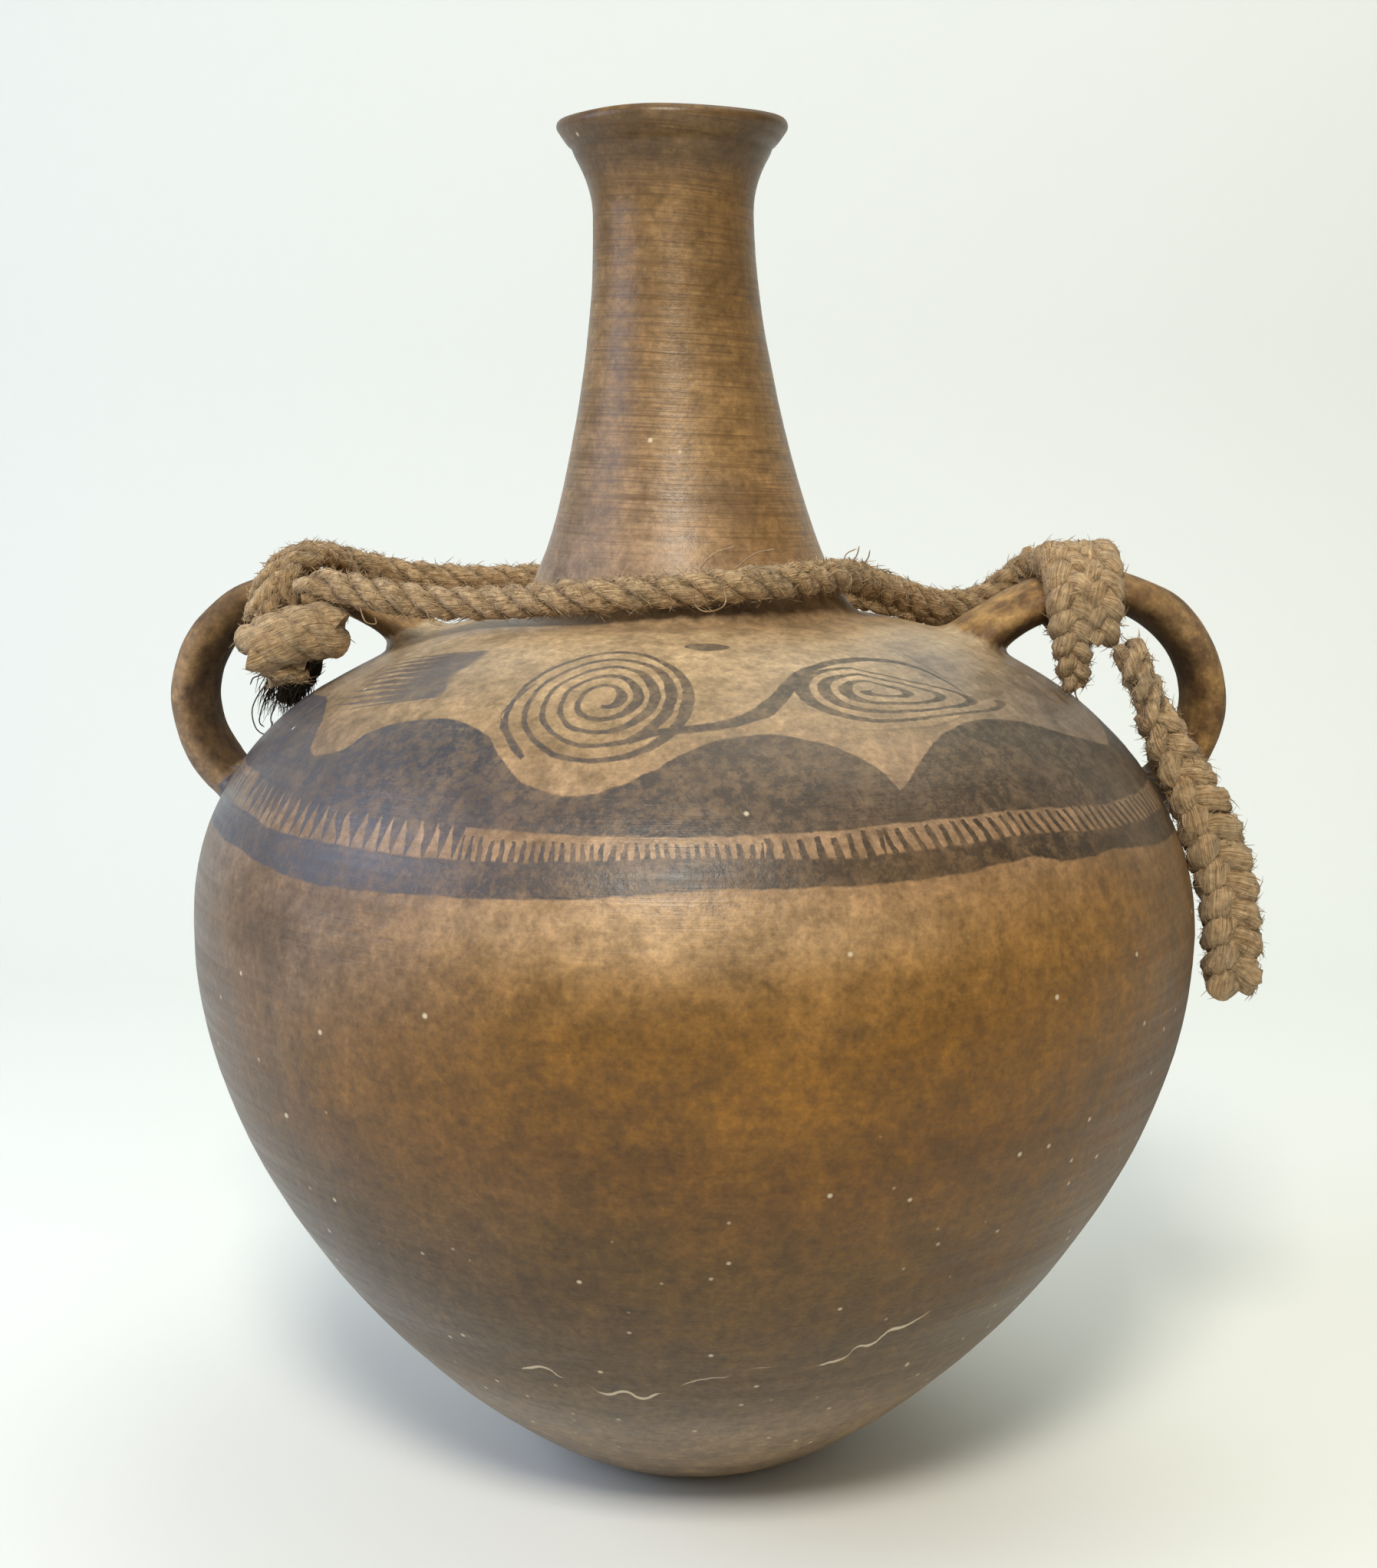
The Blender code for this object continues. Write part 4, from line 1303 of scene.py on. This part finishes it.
def tubes(name, lines, resolution, fill=True):
    """One mesh of round tubes along lines, each of points, their radii and whether it is closed."""
    curve = bpy.data.curves.new(name, "CURVE")
    curve.dimensions = "3D"
    curve.bevel_depth = 1.0
    curve.bevel_resolution = resolution
    curve.use_fill_caps = fill
    for points, radii, closed in lines:
        spline = curve.splines.new("POLY")
        spline.points.add(len(points) - 1)
        spline.use_cyclic_u = closed
        for corner, point, radius in zip(spline.points, points, radii):
            corner.co = (*point, 1.0)
            corner.radius = radius
    holder = linked(name, curve)
    mesh = applied(holder)
    removed(holder)
    bpy.data.curves.remove(curve)
    return mesh


def tube_corners(mesh, lines, sides):
    """Each corner's index, tube, step and side. The caps' own corners come before them."""
    index = len(mesh.vertices) - sides * sum(len(points) for points, _, _ in lines)
    for number, (points, _, _) in enumerate(lines):
        for step in range(len(points)):
            for side in range(sides):
                yield index, number, step, side
                index += 1


def mark_fibres(mesh, lines, sides, twist, centres=None, shaded=()):
    """Writes on each corner its place round and along its own ply, and how far out it lies, which sets the painted
    shade between the plies.
    """
    mesh.attributes.new("fibre", "FLOAT_VECTOR", "POINT")
    mesh.attributes.new("outness", "FLOAT", "POINT")
    marks = mesh.attributes["fibre"]
    outness = mesh.attributes["outness"]
    for index, corner in enumerate(mesh.vertices):
        marks.data[index].vector = corner.co
        outness.data[index].value = 0.9
    runs = []
    for points, _, _ in lines:
        run = [0.0]
        for start, end in zip(points, points[1:]):
            run.append(run[-1] + (end - start).length)
        runs.append(run)
    for index, number, step, side in tube_corners(mesh, lines, sides):
        points, radii, _ = lines[number]
        run = runs[number][step]
        angle = math.tau * side / sides + run * twist
        marks.data[index].vector = (
            math.cos(angle) * radii[step] + number * 0.037,
            math.sin(angle) * radii[step],
            run,
        )
        far = 1.0
        middle = centres[number] if centres else None
        if middle:
            reach = (points[step] - middle[step]).length + radii[step]
            far = (mesh.vertices[index].co - middle[step]).length / reach
        # Shaded lines count as lying further in, so they take a darker painted shade
        outness.data[index].value = far * (SHADED_OUTNESS if number in shaded else 1.0)


def twisted_lines(points, radius_at, plies, pitch, side=(0.0, 0.0, 1.0), start=0.0):
    """The lines of plies that wind round a rope's own line."""
    frames = carried_frames(points, side)
    lines = []
    for ply in range(plies):
        line = []
        radii = []
        for point, run, across, beside in frames:
            radius = radius_at(run)
            turn = math.tau * (run / pitch + ply / plies) + start
            ring = across * math.cos(turn) + beside * math.sin(turn)
            line.append(point + ring * radius * PLY_OFFSET)
            slack = 1.0 + 0.10 * noise.noise(Vector((run * 90, ply * 5.0 + start, 0.0)))
            radii.append(radius * (PLY_REACH - PLY_OFFSET) * slack)
        lines.append((line, radii, False))
    return lines


def plaited_lines(points, width_at, pitch, side, strands=3):
    """The lines of strands that pass over and under each other in a flat plait."""
    frames = carried_frames(points, side)
    lines = []
    for strand in range(strands):
        line = []
        radii = []
        for point, run, across, beside in frames:
            width = width_at(run)
            phase = math.tau * (run / pitch + strand / strands)
            ply = width * 0.245
            line.append(
                point
                + across * math.sin(phase) * (width / 2 - ply)
                + beside * math.sin(2 * phase) * width * 0.13
            )
            radii.append(ply)
        lines.append((line, radii, False))
    return lines


def loosened(mesh, lines, sides, amount, scale, seed):
    """Ruffles a rope's surface, as loose spun fibre does, and leaves its cut ends."""
    offset = Vector((seed * 1.7, seed * 3.1, seed * 0.9))
    mesh.update()
    normals = [corner.normal.copy() for corner in mesh.vertices]
    for index, number, step, _ in tube_corners(mesh, lines, sides):
        if 0 < step < len(lines[number][0]) - 1:
            corner = mesh.vertices[index]
            push = noise.fractal(corner.co * scale + offset, 1.0, 2.0, 3)
            corner.co += normals[index] * push * amount


def hair_lines(groups, count, rng):
    """Loose fibres on a rope: most lie along it, some stand off it and curl."""
    lines = []
    for plies, centre in groups:
        total = run_length(centre)
        for _ in range(round(count * total * 100)):
            points, radii, _ = rng.choice(plies)
            index = rng.randrange(len(points) - 1)
            point = points[index].lerp(points[index + 1], rng.random())
            along = (points[index + 1] - points[index]).normalized()
            aside = along.orthogonal().normalized()
            outward = Matrix.Rotation(rng.random() * math.tau, 3, along) @ aside
            away = (point - centre[index]).normalized()
            if outward.dot(away) < 0.0:
                outward -= away * 2 * outward.dot(away)
            around = outward.cross(along)
            stands = rng.random() < STANDING_HAIRS
            length = rng.uniform(1.4, 3.8) * MM if stands else rng.uniform(1.6, 4.4) * MM
            rise = rng.uniform(0.4, 1.0) if stands else rng.uniform(0.08, 0.34)
            forth = along * rng.choice((-1, 1)) * rng.uniform(0.4, 1.0)
            sway = around * rng.uniform(-0.8, 0.8)
            root = point + outward * radii[index] * 0.93
            direction = (outward * rise + forth + sway).normalized()
            curl = outward * -rise * 0.9 + along * rng.uniform(-0.5, 0.5)
            curl += around * rng.uniform(-0.7, 0.7)
            line = []
            for step in range(4):
                share = step / 3
                line.append(root + direction * length * share + curl * length * share ** 2 * 0.5)
            thick = rng.uniform(0.07, 0.15) * MM
            lines.append((line, [thick, thick * 0.9, thick * 0.7, thick * 0.25], False))
    return lines


def ring_points(handle, share, slant, steps=48):
    """The middle line of a slanting turn of rope round a strap, at a share of the way along it."""
    side, back_turn = HANDLES[handle]
    line = [Vector(point) * MM for point in HANDLE_LINE]
    thick = HANDLE_THICK / 2 * MM + STRAP_GAP * MM + PRESSED_RADIUS * MM
    wide = HANDLE_WIDE / 2 * MM + STRAP_GAP * MM + PRESSED_RADIUS * MM
    place = side_matrix(side, back_turn)
    points = []
    for step in range(steps + 1):
        turn = math.tau * step / steps
        position = share * (len(line) - 1) - slant * side * math.sin(turn)
        index = int(position)
        middle = line[index].lerp(line[index + 1], position - index)
        along = (line[index + 1] - line[index]).normalized()
        flat = middle + Vector((-along.y, along.x)) * math.cos(turn) * thick
        points.append(place @ Vector((flat.x, math.sin(turn) * wide, flat.y)))
    return points


def pressed_flat(plies, ring, hub):
    """Presses a turn of rope flat against the strap inside it."""
    for line, _, _ in plies:
        for index, middle in enumerate(ring):
            outward = (middle - hub).normalized()
            line[index] -= outward * (line[index] - middle).dot(outward) * 0.5


def plant_fibre(sizes):
    """Hand-spun plant fibre: dull, dusty, streaked along each ply, with painted shade between the plies."""
    made, tree, shader = new_material(
        "hand_spun_plant_fibre",
        {"Roughness": 0.92, "Specular IOR Level": 0.15, "Sheen Weight": 0.15},
    )
    node = partial(add, tree)
    spot = node("TexCoord").outputs["Object"]
    along_ply = node("Attribute", attribute_name="fibre").outputs["Vector"]
    outness = node("Attribute", attribute_name="outness").outputs["Fac"]
    # Fibres half a millimetre wide and about eight millimetres long, which wind round the ply
    drawn = node("VectorMath", along_ply, (2600.0, 2600.0, 230.0), operation="MULTIPLY")
    strands = node("TexNoise", drawn, 1.0, 3.0, 0.6)
    tufts = node("TexNoise", spot, 420.0, 3.0, 0.6)
    dust = node("TexNoise", spot, 60.0, 3.0, 0.6)
    tone = node("MapRange", strands, 0.30, 0.70, 0.0, 1.0)
    fibre = node("Mix", tone, colour("7D5B30"), (*sizes.fibre, 1.0), **RGBA)
    grey = node("MapRange", dust, 0.52, 0.72, 0.0, 0.55)
    fibre = node("Mix", grey, fibre, colour("A08C70"), **RGBA)
    shade = node("MapRange", tufts, 0.3, 0.7, 0.60, 1.22)
    shade = node("CombineXYZ", shade, shade, shade)
    fibre = node("VectorMath", fibre, shade, operation="MULTIPLY")
    # Painted shade: the further in between the plies a corner lies, the darker it is drawn
    crevice = node("MapRange", outness, 0.45, 0.95, 0.95, 0.0)
    fibre = node("Mix", crevice, fibre, colour("2E2012"), **RGBA)
    feed(tree, fibre, shader.inputs["Base Color"])
    add_relief(tree, shader, node("MULTIPLY_ADD", tufts, 0.8, strands), 0.9, 0.7)
    return made


def width_along(points, first, last):
    """Half the width at each place of a run that tapers between two widths in millimetres."""
    reach = run_length(points)
    return lambda run: (first + (last - first) * (run / reach) ** 3) / 2 * MM


def stray_lines(strays):
    """Single long fibres through given points."""
    lines = []
    for stray in strays:
        points = smooth_route([Vector(point) * MM for point in stray], 0.8 * MM)
        lines.append((points, [0.19 * MM] * (len(points) - 1) + [0.06 * MM], False))
    return lines


def tuft_lines(rng):
    """The frayed end that hangs behind the left knot."""
    lines = []
    for _ in range(TUFT_HAIRS):
        start = Vector((rng.uniform(-118.5, -106.0), rng.uniform(0.0, 9.0), rng.uniform(218, 226)))
        end = start + Vector((rng.uniform(-5.0, 1.5), rng.uniform(-2.0, 2.0), -rng.uniform(4, 12)))
        bend = start.lerp(end, 0.5) + Vector((rng.uniform(-1.5, 1.5), 0.0, 0.0))
        lines.append(([start * MM, bend * MM, end * MM], [0.16 * MM, 0.14 * MM, 0.04 * MM], False))
    return lines


def rope_finish(made, mesh, finish):
    """Gives a piece of rope its material, body and slot."""
    mesh.materials.append(finish)
    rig.ride(made, "root")
    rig.slot(made, "rope")
    return made


def rope_piece(name, groups, finish, seed, ruffle=0.55, shaded=(), plaited=()):
    """A piece of rope from the lines of its plies, each group with its middle line."""
    lines = [line for plies, _ in groups for line in plies]
    centres = []
    for number, (plies, centre) in enumerate(groups):
        centres += [None if number in plaited else centre] * len(plies)
    mesh = tubes(name, lines, ROPE_FINENESS)
    loosened(mesh, lines, ROPE_SIDES, ruffle * MM, RUFFLE_SCALE, seed)
    mark_fibres(mesh, lines, ROPE_SIDES, FIBRE_TWIST, centres, shaded)
    made = linked(name, mesh)
    # Only the caps of the cut ends are shaded flat
    first, _, _, _ = next(tube_corners(mesh, lines, ROPE_SIDES))
    for face in mesh.polygons:
        face.use_smooth = min(face.vertices) >= first
    return rope_finish(made, mesh, finish)


def hair_piece(name, lines, finish):
    """Loose fibres as one piece, with painted shade on those that hang at the left knot."""
    mesh = tubes(name, lines, 0, fill=False)
    sooty = {
        number for number, (points, _, _) in enumerate(lines)
        if points[0].x < -0.1 and points[0].z < 0.2265 and points[0].y > -0.009
    }
    mark_fibres(mesh, lines, HAIR_SIDES, 0.0, shaded=sooty)
    return rope_finish(linked(name, mesh), mesh, finish)


def make_strand(name, route, start, sizes, finish, rng):
    """A strand between the knots, its loose fibres and the points of its path."""
    points = smooth_route(route, SPACING)
    drawn = points
    if name == "back":
        # Both ends sink a little under the knots' pull
        sinks = [min(1.0, max(0.0, -0.03 - p.x, (p.x - 0.08) * 3) / 0.03) for p in points]
        drawn = [p - Vector((0, 0, 0.003 * sink)) for p, sink in zip(points, sinks)]
    radius = sizes.diameter / 2
    plies = twisted_lines(drawn, lambda run: radius, 3, STRAND_PITCH * MM, start=start)
    group = [(plies, drawn)]
    strand = rope_piece("rope_strand_" + name, group, finish, start)
    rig.replaces(strand, "rope_" + name)
    hairs = hair_lines(group, sizes.hairs, rng) + stray_lines(STRAYS.get(name, ()))
    return strand, hair_piece("loose_fibres_" + name, hairs, finish), points


def make_tail(sizes, finish, rng):
    """The tail: twisted for its first fifth, then a plait that opens out to its middle."""
    points = smooth_route(TAIL_ROUTE, SPACING)
    reach = run_length(points)
    hung = [point + Vector((0.0, -0.002, 0.0)) for point in points]
    split = len(hung) // 5

    def tail_width(run):
        share = min(1.0, run / reach / 0.35)
        end = max(0.0, run / reach - 0.55)
        return (11.0 + 6.0 * share - 5.5 * end) * MM

    strand, plait = hung[:split + 5], hung[split:]
    plies = twisted_lines(strand, lambda run: 5.2 * MM, 3, TAIL_START_PITCH * MM)
    lobes = plaited_lines(plait, tail_width, STRAND_PITCH * MM, (0.93, 0.0, 0.36))
    group = [(plies, strand), (lobes, plait)]
    tail = rope_piece("rope_plait", group, finish, 5.0, ruffle=1.3, plaited=(1,))
    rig.replaces(tail, "rope_tail")
    hairs = hair_lines(group, sizes.hairs * 3 // 2, rng)
    return tail, hair_piece("loose_fibres_tail", hairs, finish), points


def make_knot(name, sizes, finish, rng):
    """The rope's turns round one handle with its ends and lobes, and their loose fibres."""
    turns, ends, lobes = KNOTS[name]
    radius = sizes.diameter / 2
    group = []
    for number, (share, slant) in enumerate(turns):
        ring = ring_points(name, share, slant)
        plies = twisted_lines(
            ring, lambda run: radius, 3, TURN_PITCH * MM, (1.0, 0.0, 0.0), start=number * 1.3
        )
        pressed_flat(plies, ring, sum(ring, Vector()) / len(ring))
        group.append((plies, ring))
    for number, (route, first, last) in enumerate(ends):
        points = smooth_route(route, SPACING)
        wide = width_along(points, first, last)
        count = 4 if route is STUB_ROUTE else 3
        plies = twisted_lines(points, wide, count, TURN_PITCH * MM, start=number)
        if route is SWEEP_ROUTE:
            pressed_flat(plies, points, points[len(points) // 2] - Vector((0, 0, 0.02)))
        group.append((plies, points))
    for route, first, last in lobes:
        points = smooth_route(route, SPACING)
        wide = width_along(points, first * 2, last * 2)
        group.append((plaited_lines(points, wide, LOBE_PITCH * MM, (1.0, 0.0, 0.0)), points))
    plaited = range(len(group) - len(lobes), len(group))
    knot = rope_piece(
        "rope_turns_" + name, group, finish, 9.0, 0.8, SHADED_LINES[name], plaited
    )
    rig.replaces(knot, "rope_knot_" + name)
    hairs = hair_lines(group, sizes.hairs, rng)
    if name == "left":
        hairs += tuft_lines(rng)
    hairs += stray_lines(STRAYS[name])
    return knot, hair_piece("loose_fibres_knot_" + name, hairs, finish)


class JAR_OT_rope(bpy.types.Operator):
    """Makes the rope's strands, its two knots and its plaited tail"""

    bl_idname = "jar.rope"
    bl_label = "Rope"

    def execute(self, context):
        sizes = context.scene.rope_sizes
        finish = plant_fibre(sizes)
        rng = Random(11)
        strands = {
            "front": make_strand("front", FRONT_ROUTE, 0.4, sizes, finish, rng),
            "back": make_strand("back", BACK_ROUTE, 2.0, sizes, finish, rng),
        }
        tail, tail_hairs, tail_points = make_tail(sizes, finish, rng)
        reach = run_length(tail_points)
        knots = [piece for name in KNOTS for piece in make_knot(name, sizes, finish, rng)]

        for name, (strand, hairs, points) in strands.items():
            others = [hairs, *knots] if name == "front" else [hairs]
            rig.cord(
                strand,
                exit=points[0],
                length=run_length(points),
                diameter=sizes.diameter,
                far_end="object",
                stiffness="limp",
                lay="hanging",
                path=points,
                with_pieces=others,
            )
        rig.cord(
            tail,
            exit=tail_points[0],
            length=reach,
            diameter=sizes.tail_diameter,
            far_end="bare",
            stiffness="limp",
            lay="hanging",
            path=tail_points,
            with_pieces=[tail_hairs],
        )
        return {"FINISHED"}


class JAR_OT_stage(bpy.types.Operator):
    """Sets the pale sweep, the soft lights and the camera"""

    bl_idname = "jar.stage"
    bl_label = "Stage"

    def execute(self, context):
        scene = context.scene
        view = bpy.data.cameras.new("view")
        view.lens = CAMERA_LENS
        view.sensor_width = 36.0
        view.clip_end = 20.0
        camera = linked("view", view)
        camera.location = CAMERA_PLACE
        camera.rotation_euler = (math.radians(90.0 - CAMERA_PITCH), 0.0, 0.0)
        scene.camera = camera

        shape = bmesh.new()
        profile = [(SWEEP_FRONT, 0.0), (SWEEP_BACK, 0.0)]
        for step in range(1, 13):
            turn = math.radians(90 * step / 12)
            back = SWEEP_BACK + SWEEP_BEND * math.sin(turn)
            profile.append((back, SWEEP_BEND * (1.0 - math.cos(turn))))
        profile.append((SWEEP_BACK + SWEEP_BEND, SWEEP_TOP))
        corners = [shape.verts.new((0.0, back, height)) for back, height in profile]
        edges = [shape.edges.new(pair) for pair in zip(corners, corners[1:])]
        grown = bmesh.ops.extrude_edge_only(shape, edges=edges)["geom"]
        moved = [part for part in grown if isinstance(part, bmesh.types.BMVert)]
        bmesh.ops.translate(shape, verts=corners, vec=(-SWEEP_HALF, 0.0, 0.0))
        bmesh.ops.translate(shape, verts=moved, vec=(SWEEP_HALF, 0.0, 0.0))
        bmesh.ops.recalc_face_normals(shape, faces=shape.faces)
        sweep = finished("pale_sweep", shape)
        # Matt photographer's paper, rolled down behind the jar, shows no edge and hardly shines
        paper, _, _ = new_material(
            "pale_paper",
            {"Base Color": colour("E9EBE7"), "Roughness": 0.95, "Specular IOR Level": 0.1},
        )
        sweep.data.materials.append(paper)
        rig.stage(sweep)

        for name, place, aim, size, watts, tint in LIGHTS:
            lamp = bpy.data.lights.new(name, "AREA")
            lamp.shape = "SQUARE"
            lamp.size = size
            lamp.energy = watts
            lamp.color = colour(tint)[:3]
            light = linked(name, lamp)
            light.location = place
            facing = Vector(aim) - Vector(place)
            light.rotation_euler = facing.to_track_quat("-Z", "Y").to_euler()

        world = scene.world or bpy.data.worlds.new("room")
        scene.world = world
        world.use_nodes = True
        room = world.node_tree.nodes["Background"]
        room.inputs["Color"].default_value = colour("F6F2E6")
        room.inputs["Strength"].default_value = 0.30
        scene.view_settings.view_transform = "Standard"
        return {"FINISHED"}


class JAR_PT_panel(bpy.types.Panel):
    """Lists the jar's pieces and sizes"""

    bl_label = "Spouted jar"
    bl_idname = "JAR_PT_panel"
    bl_space_type = "VIEW_3D"
    bl_region_type = "UI"
    bl_category = "Jar"

    def draw(self, context):
        layout = self.layout
        for group in (context.scene.jar_sizes, context.scene.rope_sizes):
            for name in group.bl_rna.properties.keys():
                if name not in {"rna_type", "name"}:
                    layout.prop(group, name)
        for operator in (JAR_OT_vessel, JAR_OT_rope, JAR_OT_stage):
            layout.operator(operator.bl_idname)


CLASSES = (JarSizes, RopeSizes, JAR_OT_vessel, JAR_OT_rope, JAR_OT_stage, JAR_PT_panel)


def register():
    for kind in CLASSES:
        bpy.utils.register_class(kind)
    bpy.types.Scene.jar_sizes = PointerProperty(type=JarSizes)
    bpy.types.Scene.rope_sizes = PointerProperty(type=RopeSizes)


def unregister():
    del bpy.types.Scene.rope_sizes
    del bpy.types.Scene.jar_sizes
    for kind in reversed(CLASSES):
        bpy.utils.unregister_class(kind)


def main():
    register()
    bpy.ops.jar.stage()
    bpy.ops.jar.rope()
    bpy.ops.jar.vessel()
    boxes = {
        "cad": [list(corner) for corner in CAD_BOX],
        "visual": [list(corner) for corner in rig.bounds()],
    }
    with open("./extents.json", "w") as file:
        json.dump(boxes, file)


if __name__ == "__main__":
    main()
